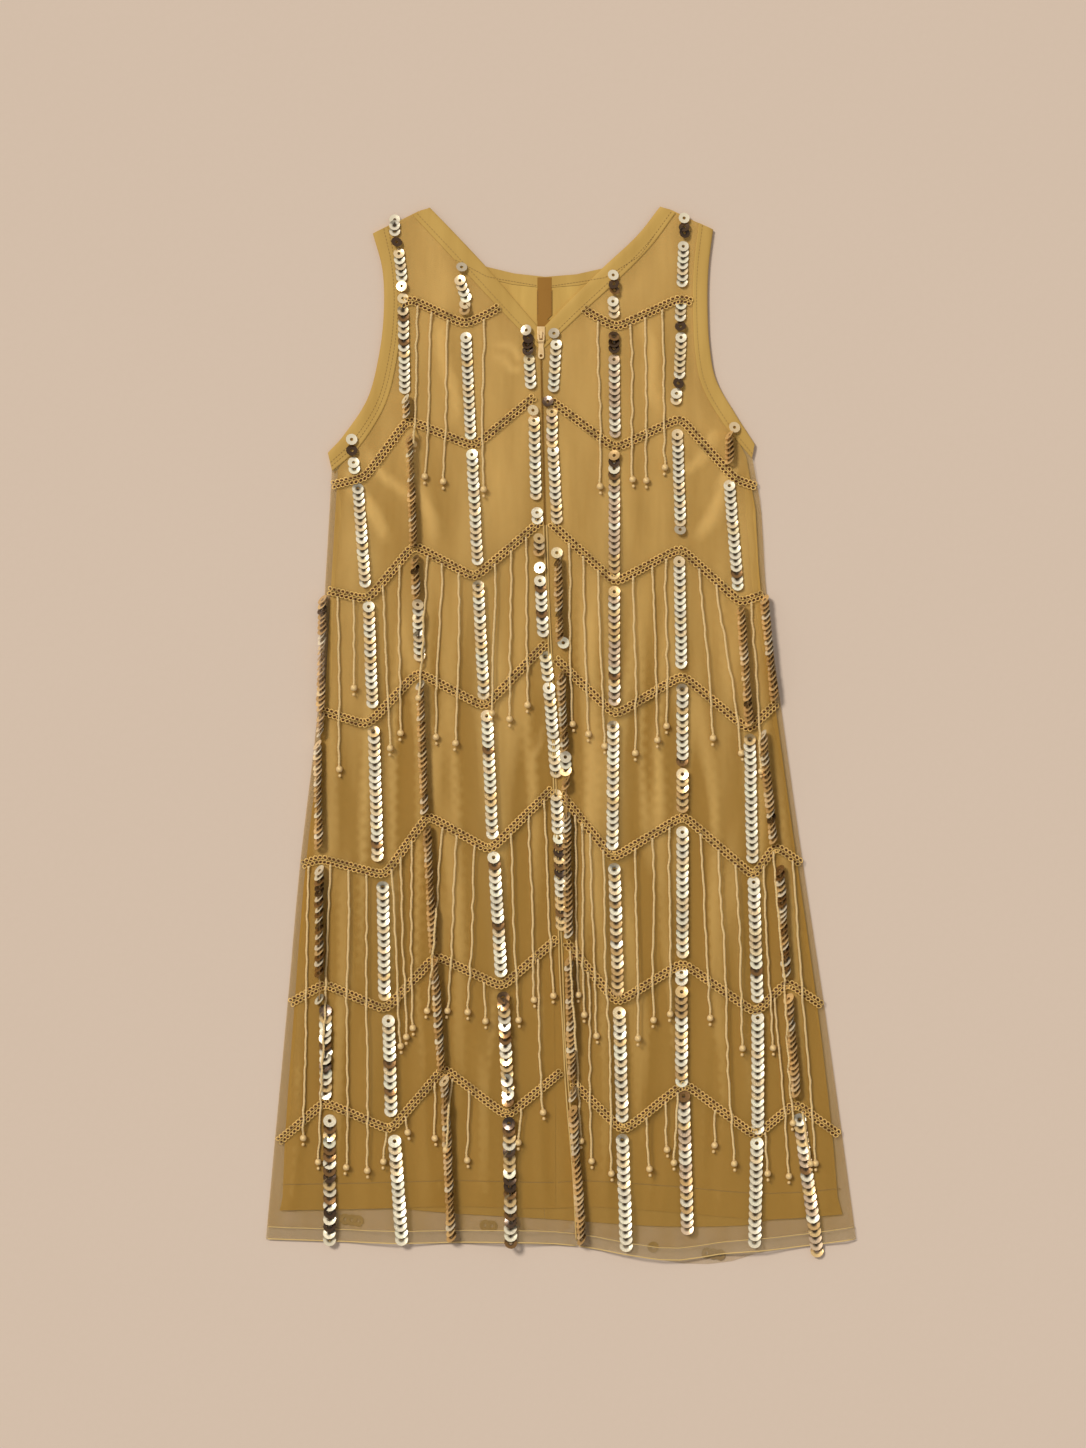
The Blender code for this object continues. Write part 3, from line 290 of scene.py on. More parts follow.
# Braids, left and right of the centre front, as places along each zigzag
BRAIDS = {
    "braid_1_left": (Place(-158, 97), Place(-151, 92), Place(-96, 118), Place(-70, 106), Place(-63, 101)),
    "braid_1_right": (Place(24, 103), Place(31, 108), Place(55, 121), Place(120, 91), Place(129, 95)),
    "braid_2_left": (
        Place(-227, 278), Place(-196, 271), Place(-153, 213), Place(-87, 240), Place(-28, 191),
    ),
    "braid_2_right": (
        Place(-11, 193), Place(54, 242), Place(119, 211), Place(174, 273), Place(193, 279),
    ),
    "braid_3_left": (
        Place(-231, 384), Place(-193, 393), Place(-147, 338), Place(-86, 371), Place(-21, 315),
    ),
    "braid_3_right": (
        Place(-9, 317), Place(54, 376), Place(119, 341), Place(179, 396), Place(200, 388),
    ),
    "braid_4_left": (
        Place(-238, 504), Place(-193, 518), Place(-143, 465), Place(-76, 500), Place(-16, 437),
    ),
    "braid_4_right": (
        Place(-4, 453), Place(54, 508), Place(121, 468), Place(187, 523), Place(214, 497),
    ),
    "braid_5_left": (
        Place(-257, 657), Place(-241, 651), Place(-176, 668), Place(-133, 608), Place(-71, 643),
        Place(-10, 583),
    ),
    "braid_5_right": (
        Place(1, 588), Place(52, 651), Place(122, 608), Place(192, 669), Place(214, 638), Place(238, 655),
    ),
    "braid_6_left": (
        Place(-269, 795), Place(-236, 776), Place(-175, 802), Place(-125, 748), Place(-59, 779),
        Place(-5, 732),
    ),
    "braid_6_right": (
        Place(6, 736), Place(56, 795), Place(121, 755), Place(194, 805), Place(226, 774), Place(259, 797),
    ),
    "braid_7_left": (
        Place(-281, 933), Place(-236, 894), Place(-170, 922), Place(-117, 860), Place(-54, 908),
        Place(-1, 865),
    ),
    "braid_7_right": (
        Place(13, 876), Place(62, 923), Place(123, 875), Place(194, 928), Place(234, 895), Place(276, 926),
    ),
}

# Fringe: where each strand leaves its braid, and where its bead hangs
FRINGE = {
    "braid_1_left": (
        Strand(-143, -147, 238), Strand(-129, -136, 270), Strand(-113, -118, 275), Strand(-77, -78, 283),
    ),
    "braid_1_right": (
        Strand(37, 39, 280), Strand(69, 72, 273), Strand(84, 85, 274), Strand(101, 104, 261),
    ),
    "braid_3_left": (
        Strand(-223, -221, 562), Strand(-207, -206, 481), Strand(-178, -170, 541), Strand(-161, -161, 526),
        Strand(-133, -142, 491), Strand(-119, -125, 530), Strand(-102, -104, 536), Strand(-66, -68, 506),
        Strand(-50, -51, 512), Strand(-35, -33, 498),
    ),
    "braid_3_right": (
        Strand(8, 11, 517), Strand(22, 27, 527), Strand(37, 43, 539), Strand(72, 75, 546),
        Strand(91, 97, 533), Strand(105, 105, 519), Strand(138, 152, 531), Strand(155, 180, 546),
        Strand(190, 200, 564),
    ),
    "braid_5_left": (
        Strand(-252, -257, 930), Strand(-230, -242, 954), Strand(-212, -214, 959), Strand(-194, -193, 962),
        Strand(-169, -160, 838), Strand(-160, -154.5, 829), Strand(-149, -149, 820), Strand(-118, -133, 803),
        Strand(-104, -113, 803), Strand(-86, -93, 804), Strand(-50, -43, 812), Strand(-32, -27, 792),
        Strand(-17, -8, 788),
    ),
    "braid_5_right": (
        Strand(14, 16.5, 787), Strand(21, 23, 807), Strand(29, 35, 828), Strand(42, 51, 965),
        Strand(74, 77, 830), Strand(91, 93, 812), Strand(108, 109, 806), Strand(139, 149, 810),
        Strand(157, 172, 955), Strand(174, 182, 840), Strand(202, 211, 840), Strand(212, 232, 915),
        Strand(231, 254, 955),
    ),
    "braid_6_left": (Strand(-77, -75, 813), Strand(-23, -19, 904)),
    "braid_6_right": (Strand(9, 20, 933), Strand(27, 31, 953), Strand(213, 228, 968)),
    "braid_7_left": (
        Strand(-174, -178, 953), Strand(-155, -153, 924), Strand(-126, -125, 930), Strand(-108, -115, 941),
        Strand(-92, -93, 952), Strand(-40, -42, 934),
    ),
    "braid_7_right": (
        Strand(85, 87, 960), Strand(104, 105, 941), Strand(116, 113, 954), Strand(154, 154, 937),
        Strand(203, 205, 965), Strand(241, 248, 955),
    ),
}


def to_y(drop: float) -> float:
    """Return the y, in metres, of a drop in millimetres."""
    return (DRESS_LENGTH / 2 - drop) * MM


def to_drop(y: float) -> float:
    """Return the drop, in millimetres, of a y in metres."""
    return DRESS_LENGTH / 2 - y / MM


def smooth(value: float) -> float:
    """Return a soft step from 0 to 1."""
    value = min(max(value, 0.0), 1.0)
    return value * value * (3 - 2 * value)


class Profile:
    """A smooth curve through a short table, read as one value against another."""

    def __init__(self, pairs: Sequence[tuple[float, float]]) -> None:
        """Keep a table of keys and values, with the keys rising."""
        self.keys = [key for key, _ in pairs]
        self.values = [value for _, value in pairs]

    def slope(self, index: int) -> float:
        """Return the curve's slope at one of the table's places."""
        low, high = max(index - 1, 0), min(index + 1, len(self.keys) - 1)
        return (self.values[high] - self.values[low]) / (self.keys[high] - self.keys[low])

    def __call__(self, key: float) -> float:
        """Read the curve.

        Args:
            key: where to read it.

        Returns:
            The curve's value there.
        """
        key = min(max(key, self.keys[0]), self.keys[-1])
        index = 0
        while index < len(self.keys) - 2 and key > self.keys[index + 1]:
            index += 1
        span = self.keys[index + 1] - self.keys[index]
        t = (key - self.keys[index]) / span
        start, end = self.values[index], self.values[index + 1]
        leave, arrive = self.slope(index) * span, self.slope(index + 1) * span
        return (
            start * (1 + 2 * t) * (1 - t) ** 2
            + leave * t * (1 - t) ** 2
            + end * t * t * (3 - 2 * t)
            + arrive * t * t * (t - 1)
        )


def crease_height(x: float, drop: float) -> float:
    """Work out how far the soft creases lift the cloth.

    Args:
        x: distance from the middle, in millimetres.
        drop: distance below the shoulder, in millimetres.

    Returns:
        The lift in millimetres.
    """
    total = 0.0
    for crease in CREASES:
        along = Vector((crease.low_x - crease.top_x, crease.low_drop - crease.top_drop))
        length = along.length
        along /= length
        offset = Vector((x - crease.top_x, drop - crease.top_drop))
        run = offset.dot(along) / length
        if not -0.2 < run < 1.2:
            continue
        across = abs(offset.x * along.y - offset.y * along.x + 2.5 * math.sin(run * 7 + crease.top_x))
        if across < crease.half_width:
            ends = smooth((run + 0.15) / 0.35) * smooth((1.15 - run) / 0.35)
            total += 1.35 * crease.height * ends * (1 - smooth(across / crease.half_width))
    total += 0.5 * (1 + noise.noise(Vector((x / 34, drop / 95, 3.1)))) * smooth((drop - 20) / 60)
    pleat = 1 - abs(noise.noise(Vector((x / 21, drop / 260, 7.7)))) * 2.4
    return total + 1.75 * smooth(pleat) * smooth((drop - 300) / 200)


def resample(points: Sequence[Vector], step: float, closed: bool = False) -> list[Vector]:
    """Walk a line in even steps.

    Args:
        points: the line's points.
        step: the distance between the new points.
        closed: whether the line runs back to its start.

    Returns:
        The new points, ends included where the line is open.
    """
    chain = list(points) + ([points[0]] if closed else [])
    total = sum((b - a).length for a, b in zip(chain, chain[1:]))
    count = max(int(round(total / step)), 2)
    made, index, passed = [chain[0].copy()], 0, 0.0
    for number in range(1, count + 1):
        target = total * number / count
        while index < len(chain) - 2 and passed + (chain[index + 1] - chain[index]).length < target:
            passed += (chain[index + 1] - chain[index]).length
            index += 1
        span = chain[index + 1] - chain[index]
        made.append(chain[index] + span * ((target - passed) / max(span.length, 1e-9)))
    return made[:-1] if closed else made


def soften(points: list[Vector], passes: int) -> list[Vector]:
    """Round a line's corners, with its ends kept.

    Args:
        points: evenly spaced points.
        passes: how often each point moves towards its neighbours.

    Returns:
        The rounded line.
    """
    for _ in range(passes):
        inner = [(a + 2 * b + c) / 4 for a, b, c in zip(points, points[1:], points[2:])]
        points = [points[0], *inner, points[-1]]
    return points


class Signal:
    """A socket of a material's nodes that can be used in sums."""

    def __init__(self, graph: "NodeGraph", socket: bpy.types.NodeSocket) -> None:
        """Keep the socket and the graph that it belongs to."""
        self.graph = graph
        self.socket = socket

    def sum_of(self, operation: str, first: "Value", second: "Value" = 0.0) -> "Signal":
        """Return the result of a Math node on two values."""
        return self.graph.node("ShaderNodeMath", {"operation": operation}, {0: first, 1: second})

    def __add__(self, other: "Value") -> "Signal":
        """Return the sum."""
        return self.sum_of("ADD", self, other)

    def __radd__(self, other: "Value") -> "Signal":
        """Return the sum, from the right."""
        return self.sum_of("ADD", other, self)

    def __sub__(self, other: "Value") -> "Signal":
        """Return the difference."""
        return self.sum_of("SUBTRACT", self, other)

    def __rsub__(self, other: "Value") -> "Signal":
        """Return the difference, from the right."""
        return self.sum_of("SUBTRACT", other, self)

    def __mul__(self, other: "Value") -> "Signal":
        """Return the product."""
        return self.sum_of("MULTIPLY", self, other)

    def __rmul__(self, other: "Value") -> "Signal":
        """Return the product, from the right."""
        return self.sum_of("MULTIPLY", other, self)


Value = Union[Signal, float, Colour, Triple]


class NodeGraph:
    """A new material and its nodes."""

    def __init__(self, name: str) -> None:
        """Start an empty material.

        Args:
            name: the material's name.
        """
        self.material = bpy.data.materials.new(name)
        self.material.use_nodes = True
        self.tree = self.material.node_tree
        self.tree.nodes.clear()

    def node(self, kind: str, settings: dict | None = None, inputs: dict | None = None,
             output: int | str = 0) -> Signal:
        """Add a node.

        Args:
            kind: the node's type.
            settings: the node's own settings, which are set first.
            inputs: a value or signal for each named or numbered socket.
            output: which output to return.

        Returns:
            The node's output as a signal.
        """
        made = self.tree.nodes.new(kind)
        for name, value in (settings or {}).items():
            setattr(made, name, value)
        for key, value in (inputs or {}).items():
            if isinstance(value, Signal):
                self.tree.links.new(value.socket, made.inputs[key])
            else:
                made.inputs[key].default_value = value
        return Signal(self, made.outputs[output])

    def place(self, turn: float = 0.0, stretch: Triple = (1.0, 1.0, 1.0)) -> Signal:
        """Return the place on the object, turned about Z and then stretched.

        Args:
            turn: the turn in degrees.
            stretch: a factor for each axis.

        Returns:
            The place as a vector signal.
        """
        spot = self.node("ShaderNodeTexCoord", output="Object")
        if turn:
            inputs = {"Vector": spot, "Rotation": (0.0, 0.0, math.radians(turn))}
            spot = self.node("ShaderNodeMapping", {"vector_type": "POINT"}, inputs)
        return self.node("ShaderNodeVectorMath", {"operation": "MULTIPLY"}, {0: spot, 1: stretch})

    def noise(self, scale: float, detail: float = 2.0, stretch: Triple = (1.0, 1.0, 1.0)) -> Signal:
        """Return soft noise from 0 to 1 at a scale in parts of a metre."""
        inputs = {"Vector": self.place(0.0, stretch), "Scale": scale, "Detail": detail}
        return self.node("ShaderNodeTexNoise", {"noise_dimensions": "3D"}, inputs)

    def threads(self, pitch: float, turn: float) -> Signal:
        """Return parallel threads, from 0 between them to 1 on them.

        Args:
            pitch: the distance between the threads, in metres.
            turn: the threads' turn from the Y axis, in degrees.

        Returns:
            The threads' height as a signal.
        """
        settings = {"wave_type": "BANDS", "bands_direction": "X", "wave_profile": "SIN"}
        inputs = {"Vector": self.place(turn), "Scale": 0.314 / pitch, "Distortion": 0.0}
        return self.node("ShaderNodeTexWave", settings, inputs, "Fac")

    def blend(self, factor: Value, first: Value, second: Value) -> Signal:
        """Return a mix of two colours."""
        return self.node("ShaderNodeMix", {"data_type": "RGBA"}, {0: factor, 6: first, 7: second}, 2)

    def bump(self, height: Signal, distance: float, strength: float) -> Signal:
        """Return a normal roughened by a height."""
        inputs = {"Height": height, "Distance": distance, "Strength": strength}
        return self.node("ShaderNodeBump", None, inputs, "Normal")

    def finish(self, inputs: dict) -> bpy.types.Material:
        """Add the shader and the output.

        Args:
            inputs: the Principled shader's values and signals.

        Returns:
            The finished material.
        """
        shader = self.node("ShaderNodeBsdfPrincipled", None, inputs)
        end = self.tree.nodes.new("ShaderNodeOutputMaterial")
        self.tree.links.new(shader.socket, end.inputs["Surface"])
        return self.material


@dataclass(frozen=True)
class WovenFinish:
    """Opaque woven cloth with a soft sheen."""

    name: str
    colour: Colour
    shade: Colour
    pitch: float = 0.0007
    roughness: float = 0.62
    sheen: float = 0.25

    def build(self) -> bpy.types.Material:
        """Return the material."""
        graph = NodeGraph(self.name)
        weave = graph.threads(self.pitch, 0.0) * 0.5 + graph.threads(self.pitch, 90.0) * 0.5
        slub = graph.noise(260.0, 2.0, (1.0, 0.12, 1.0))
        mottle = graph.noise(16.0, 3.0, (2.2, 0.4, 1.0))
        # Painted shade: the colour darkens in the folds' hollows, read from the panels' fold-depth attribute.
        valley = graph.node("ShaderNodeAttribute", {"attribute_name": "valley"}, output="Fac")
        # Painted light: the colour is paler towards the shoulders and darker towards the hem, by the object's
        # height.
        up = graph.node("ShaderNodeSeparateXYZ", None, {"Vector": graph.place()}, "Y")
        factor = mottle * 1.05 + slub * 0.2 + (weave * 0.1 - 0.415) - valley * 0.6 + (up - up * up) * 0.9
        return graph.finish({
            "Base Color": graph.blend(factor, self.shade, self.colour),
            "Roughness": 0.12 * slub + (self.roughness - 0.06),
            "Normal": graph.bump(weave * 0.6 + slub * 0.6, 0.00025, 0.35),
            "Sheen Weight": self.sheen,
            "Sheen Roughness": 0.4,
            "Sheen Tint": (1.0, 0.78, 0.35, 1.0),
            "Specular IOR Level": 0.2,
        })


@dataclass(frozen=True)
class NetFinish:
    """Sheer net that shows what lies under it between its threads."""

    name: str
    colour: Colour
    shade: Colour
    opacity: float
    pitch: float = 0.0011

    def build(self) -> bpy.types.Material:
        """Return the material."""
        graph = NodeGraph(self.name)
        net = graph.threads(self.pitch, 32.0) * graph.threads(self.pitch, -32.0)
        mottle = graph.noise(22.0, 3.0, (2.4, 0.35, 1.0))
        # Painted shade: the colour darkens in the folds' hollows, read from the panels' fold-depth attribute.
        valley = graph.node("ShaderNodeAttribute", {"attribute_name": "valley"}, output="Fac")
        # Painted light: the colour is paler towards the shoulders and darker towards the hem, by the object's
        # height.
        up = graph.node("ShaderNodeSeparateXYZ", None, {"Vector": graph.place()}, "Y")
        return graph.finish({
            "Base Color": graph.blend(
                mottle * 0.5 - valley * 0.55 + (up - up * up) * 0.9, self.shade, self.colour),
            "Alpha": (0.45 + 2.2 * net) * (0.7 + 0.6 * mottle) * self.opacity,
            "Roughness": 0.45 + 0.2 * mottle,
            "Normal": graph.bump(net, 0.0003, 0.4),
            "Sheen Weight": 0.12,
            "Sheen Roughness": 0.35,
            "Sheen Tint": (1.0, 0.8, 0.4, 1.0),
            "Specular IOR Level": 0.25,
        })


@dataclass(frozen=True)
class SequinFinish:
    """Sequins whose colour and shine come from each disc's tone: the sequins' colours, partly painted
    highlight and shade, and painted shadow.
    """

    name: str = "sequin_foil"
    roughness: float = 0.2

    def build(self) -> bpy.types.Material:
        """Return the material."""
        graph = NodeGraph(self.name)
        tone = graph.node("ShaderNodeAttribute", {"attribute_name": "tone"}, output="Color")
        shine = graph.node("ShaderNodeAttribute", {"attribute_name": "tone"}, output="Alpha")
        wear = graph.noise(900.0, 1.0)
        return graph.finish({
            "Base Color": tone,
            "Metallic": shine,
            "Roughness": self.roughness + wear * 0.12,
            "Normal": graph.bump(graph.noise(320.0, 1.0), 0.0004, 0.3),
            "Coat Weight": 0.35,
            "Coat Roughness": 0.12,
        })


@dataclass(frozen=True)
class ThreadFinish:
    """Twisted or crocheted thread with a metallic glint."""

    name: str
    colour: Colour
    shade: Colour
    metallic: float
    roughness: float = 0.42
    pitch: float = 0.0009
    sheen: float = 0.2

    def build(self) -> bpy.types.Material:
        """Return the material."""
        graph = NodeGraph(self.name)
        twist = graph.threads(self.pitch, 38.0)
        fleck = graph.noise(420.0, 2.0)
        tone = graph.node("ShaderNodeAttribute", {"attribute_name": "tone"}, output="Color")
        dyed = graph.blend(fleck * 0.75 + twist * 0.25, self.shade, self.colour)
        return graph.finish({
            "Base Color": graph.node("ShaderNodeVectorMath", {"operation": "MULTIPLY"}, {0: dyed, 1: tone}),
            "Metallic": self.metallic,
            "Roughness": self.roughness + 0.15 * (fleck - 0.5),
            "Normal": graph.bump(twist + fleck, 0.0003, 0.5),
            "Sheen Weight": self.sheen,
            "Specular IOR Level": 0.3,
        })


@dataclass(frozen=True)
class MetalFinish:
    """Worn coloured metal."""

    name: str
    colour: Colour
    worn: Colour
    roughness: float

    def build(self) -> bpy.types.Material:
        """Return the material."""
        graph = NodeGraph(self.name)
        rub = graph.noise(240.0, 3.0)
        return graph.finish({
            "Base Color": graph.blend(rub, self.colour, self.worn),
            "Metallic": 0.6,
            "Roughness": self.roughness + 0.15 * rub,
            "Normal": graph.bump(graph.noise(900.0, 2.0), 0.0001, 0.25),
        })


@dataclass(frozen=True)
class FloorFinish:
    """Plain pale paper floor."""

    name: str = "studio_floor"
    colour: Colour = (0.69, 0.56, 0.455, 1.0)
    shade: Colour = (0.665, 0.535, 0.43, 1.0)

    def build(self) -> bpy.types.Material:
        """Return the material."""
        graph = NodeGraph(self.name)
        grain = graph.noise(160.0, 4.0)
        cloud = graph.noise(2.2, 2.0)
        return graph.finish({
            "Base Color": graph.blend(grain * 0.4 + cloud * 0.6, self.shade, self.colour),
            "Roughness": 0.9 - grain * 0.1,
            "Normal": graph.bump(grain, 0.0004, 0.25),
            "Specular IOR Level": 0.2,
        })


class Finishes:
    """Every finish of the dress, built once."""

    def __init__(self) -> None:
        """Build the materials."""
        self.net = NetFinish("net_single", (0.82, 0.56, 0.19, 1.0), (0.53, 0.32, 0.075, 1.0), 0.2).build()
        self.hem_net = NetFinish(
            "net_doubled", (0.72, 0.53, 0.28, 1.0), (0.58, 0.41, 0.2, 1.0), 0.24).build()
        self.lining = WovenFinish(
            "lining_satin", (0.9, 0.61, 0.2, 1.0), (0.38, 0.195, 0.026, 1.0)).build()
        self.inside = WovenFinish(
            "lining_satin_inside", (0.76, 0.5, 0.135, 1.0), (0.4, 0.22, 0.04, 1.0)).build()
        self.binding = WovenFinish(
            "binding_satin", (0.64, 0.41, 0.11, 1.0), (0.43, 0.25, 0.052, 1.0), sheen=0.3).build()
        self.tape = WovenFinish(
            "seam_tape", (0.37, 0.18, 0.03, 1.0), (0.28, 0.125, 0.018, 1.0),
            pitch=0.0011, roughness=0.7).build()
        self.braid = ThreadFinish(
            "braid_thread", (1.0, 0.74, 0.28, 1.0), (1.0, 0.57, 0.14, 1.0), 0.0, 0.5, sheen=0.0).build()
        self.strand = ThreadFinish(
            "fringe_thread", (1.0, 0.8, 0.42, 1.0), (0.66, 0.42, 0.15, 1.0), 0.1, 0.5).build()
        # The sewing thread is dark brown: partly the thread's colour and partly painted shade, for the dark
        # lines along the seams.
        self.sewing = ThreadFinish(
            "sewing_thread", (0.3, 0.17, 0.045, 1.0), (0.2, 0.1, 0.025, 1.0), 0.0, 0.6).build()
        self.edge = ThreadFinish(
            "rolled_net_edge", (0.72, 0.5, 0.18, 1.0), (0.52, 0.33, 0.09, 1.0), 0.0, 0.6).build()
        self.sequin = SequinFinish().build()
        self.bead = ThreadFinish(
            "bead_lacquer", (1.0, 0.74, 0.36, 1.0), (0.72, 0.46, 0.17, 1.0), 0.15, 0.35).build()
        self.zip = MetalFinish("zip_metal_worn", (0.8, 0.5, 0.2, 1.0), (1.0, 0.76, 0.42, 1.0), 0.3).build()


class Relief:
    """Heights of some pieces, read by looking straight down on them."""

    def __init__(self, objects: Sequence[bpy.types.Object]) -> None:
        """Gather the pieces' faces.

        Args:
            objects: pieces whose places are in their meshes.
        """
        places: list[Vector] = []
        faces: list[list[int]] = []
        for made in objects:
            start = len(places)
            places += [vertex.co.copy() for vertex in made.data.vertices]
            faces += [[start + index for index in face.vertices] for face in made.data.polygons]
        self.tree = BVHTree.FromPolygons(places, faces)

    def top(self, x: float, y: float) -> float | None:
        """Return the height of what is seen from above at a place, or None."""
        place, _, _, _ = self.tree.ray_cast(Vector((x, y, HIGH)), -UP)
        return place.z if place else None

    def top_or(self, x: float, y: float, other: float) -> float:
        """Return the height seen from above, or another where nothing lies."""
        found = self.top(x, y)
        return other if found is None else found

    def faces_up(self, x: float, y: float) -> bool:
        """Return whether what is seen from above lies level enough to be a panel's face."""
        place, normal, _, _ = self.tree.ray_cast(Vector((x, y, HIGH)), -UP)
        return bool(place) and normal.z > FACES_UP

    def drape(self, points: Sequence[Vector], other: float, lift: float) -> None:
        """Lay points on the pieces.

        Args:
            points: the points, whose heights change.
            other: the height used where nothing lies, in metres.
            lift: how far above the pieces they end, in millimetres.
        """
        for point in points:
            point.z = self.top_or(point.x, point.y, other) + lift * MM


def heading(line: Sequence[Vector], index: int) -> Vector:
    """Return the way that a line runs past one of its points."""
    return line[min(index + 1, len(line) - 1)] - line[max(index - 1, 0)]


def tree_of(points: Sequence[Vector]) -> KDTree:
    """Return a search tree of points, by their places alone and not their heights."""
    tree = KDTree(len(points))
    for index, point in enumerate(points):
        tree.insert((point.x, point.y, 0.0), index)
    tree.balance()
    return tree


def new_object(name: str, mesh: bpy.types.Mesh, *materials: bpy.types.Material) -> bpy.types.Object:
    """Link an object of some mesh.

    Args:
        name: the piece's name.
        mesh: its mesh.
        materials: its materials, in slot order.

    Returns:
        The linked object.
    """
    for material in materials:
        mesh.materials.append(material)
    made = bpy.data.objects.new(name, mesh)
    bpy.context.scene.collection.objects.link(made)
    return made


def deselect_all() -> None:
    """Leave edit mode and deselect every object."""
    if bpy.context.object and bpy.context.object.mode != "OBJECT":
        bpy.ops.object.mode_set(mode="OBJECT")
    for made in bpy.context.scene.objects:
        made.select_set(False)


def apply_modifier(made: bpy.types.Object, kind: str, **settings: float | int | str | bool) -> None:
    """Give an object a modifier and apply it.

    Args:
        made: the object.
        kind: the modifier's type.
        settings: the modifier's settings.
    """
    modifier = made.modifiers.new(kind.title(), kind)
    for name, value in settings.items():
        setattr(modifier, name, value)
    deselect_all()
    made.select_set(True)
    bpy.context.view_layer.objects.active = made
    bpy.ops.object.modifier_apply(modifier=modifier.name)


def shade_smooth(made: bpy.types.Object, angle: float = 50.0) -> None:
    """Shade an object smooth, with edges sharper than an angle left crisp."""
    deselect_all()
    made.select_set(True)
    bpy.context.view_layer.objects.active = made
    bpy.ops.object.shade_smooth_by_angle(angle=math.radians(angle))


class Stamp:
    """A small shape that is modelled once and copied many times into pieces."""

    def __init__(self, source: bpy.types.Object) -> None:
        """Take the shape, and remove the object that it was modelled on.

        Args:
            source: the modelled object.
        """
        self.places = [vertex.co.copy() for vertex in source.data.vertices]
        # A darkening factor for each vertex, 1 for none: painted shadow, where a stamp sets it.
        self.painted_shadows = [1.0] * len(self.places)
        self.faces = [tuple(face.vertices) for face in source.data.polygons]
        bpy.data.objects.remove(source)


class Cluster:
    """Many stamped copies, gathered into one piece's mesh."""

    def __init__(self) -> None:
        """Start with nothing."""
        self.places: list[Vector] = []
        self.faces: list[tuple[int, ...]] = []
        self.tones: list[Colour] = []

    def add(self, stamp: Stamp, matrix: Matrix, tone: Colour = PLAIN, shaded: bool = True) -> None:
        """Add a copy of a stamp.

        Args:
            stamp: the shape.
            matrix: where the copy goes.
            tone: its colour, with its shine as the fourth value.
            shaded: whether the stamp's painted shadows darken the colour.
        """
        start = len(self.places)
        self.places += [matrix @ place for place in stamp.places]
        self.faces += [tuple(start + index for index in face) for face in stamp.faces]
        for shade in stamp.painted_shadows:
            dim = shade if shaded else 1.0
            self.tones.append((tone[0] * dim, tone[1] * dim, tone[2] * dim, tone[3]))

    def add_tube(self, line: Sequence[Vector], radii: Sequence[float], corners: int,
                 tone: Colour = PLAIN) -> None:
        """Add a closed tube along a line.

        Args:
            line: the tube's centre.
            radii: its radius at each point.
            corners: how many corners its section has.
            tone: its colour.
        """
        start = len(self.places)
        for index, point in enumerate(line):
            along = heading(line, index).normalized()
            side = along.cross(UP)
            side = side.normalized() if side.length > 1e-6 else Vector((1, 0, 0))
            up = side.cross(along)
            for corner in range(corners):
                angle = 2 * math.pi * corner / corners
                self.places.append(point + (side * math.cos(angle) + up * math.sin(angle)) * radii[index])
        for ring in range(len(line) - 1):
            first = start + ring * corners
            for corner in range(corners):
                after = (corner + 1) % corners
                above = first + corners
                self.faces.append((first + corner, first + after, above + after, above + corner))
        self.faces.append(tuple(start + corner for corner in reversed(range(corners))))
        last = start + (len(line) - 1) * corners
        self.faces.append(tuple(last + corner for corner in range(corners)))
        self.tones += [tone] * (len(self.places) - start)

    def build(self, name: str, material: bpy.types.Material, crisp: float = 0.0) -> bpy.types.Object:
        """Make the piece.

        Args:
            name: the piece's name.
            material: its material.
            crisp: the angle in degrees from which edges are left crisp, or 0 for none.

        Returns:
            The new object, shaded smooth.
        """
        mesh = bpy.data.meshes.new(name)
        mesh.from_pydata(self.places, [], self.faces)
        bm = bmesh.new()
        bm.from_mesh(mesh)
        bmesh.ops.recalc_face_normals(bm, faces=bm.faces)
        bm.to_mesh(mesh)
        bm.free()
        tones = mesh.color_attributes.new("tone", "FLOAT_COLOR", "POINT")
        tones.data.foreach_set("color", [part for tone in self.tones for part in tone])
        mesh.polygons.foreach_set("use_smooth", [True] * len(mesh.polygons))
        if crisp:
            mesh.set_sharp_from_angle(angle=math.radians(crisp))
        return new_object(name, mesh, material)


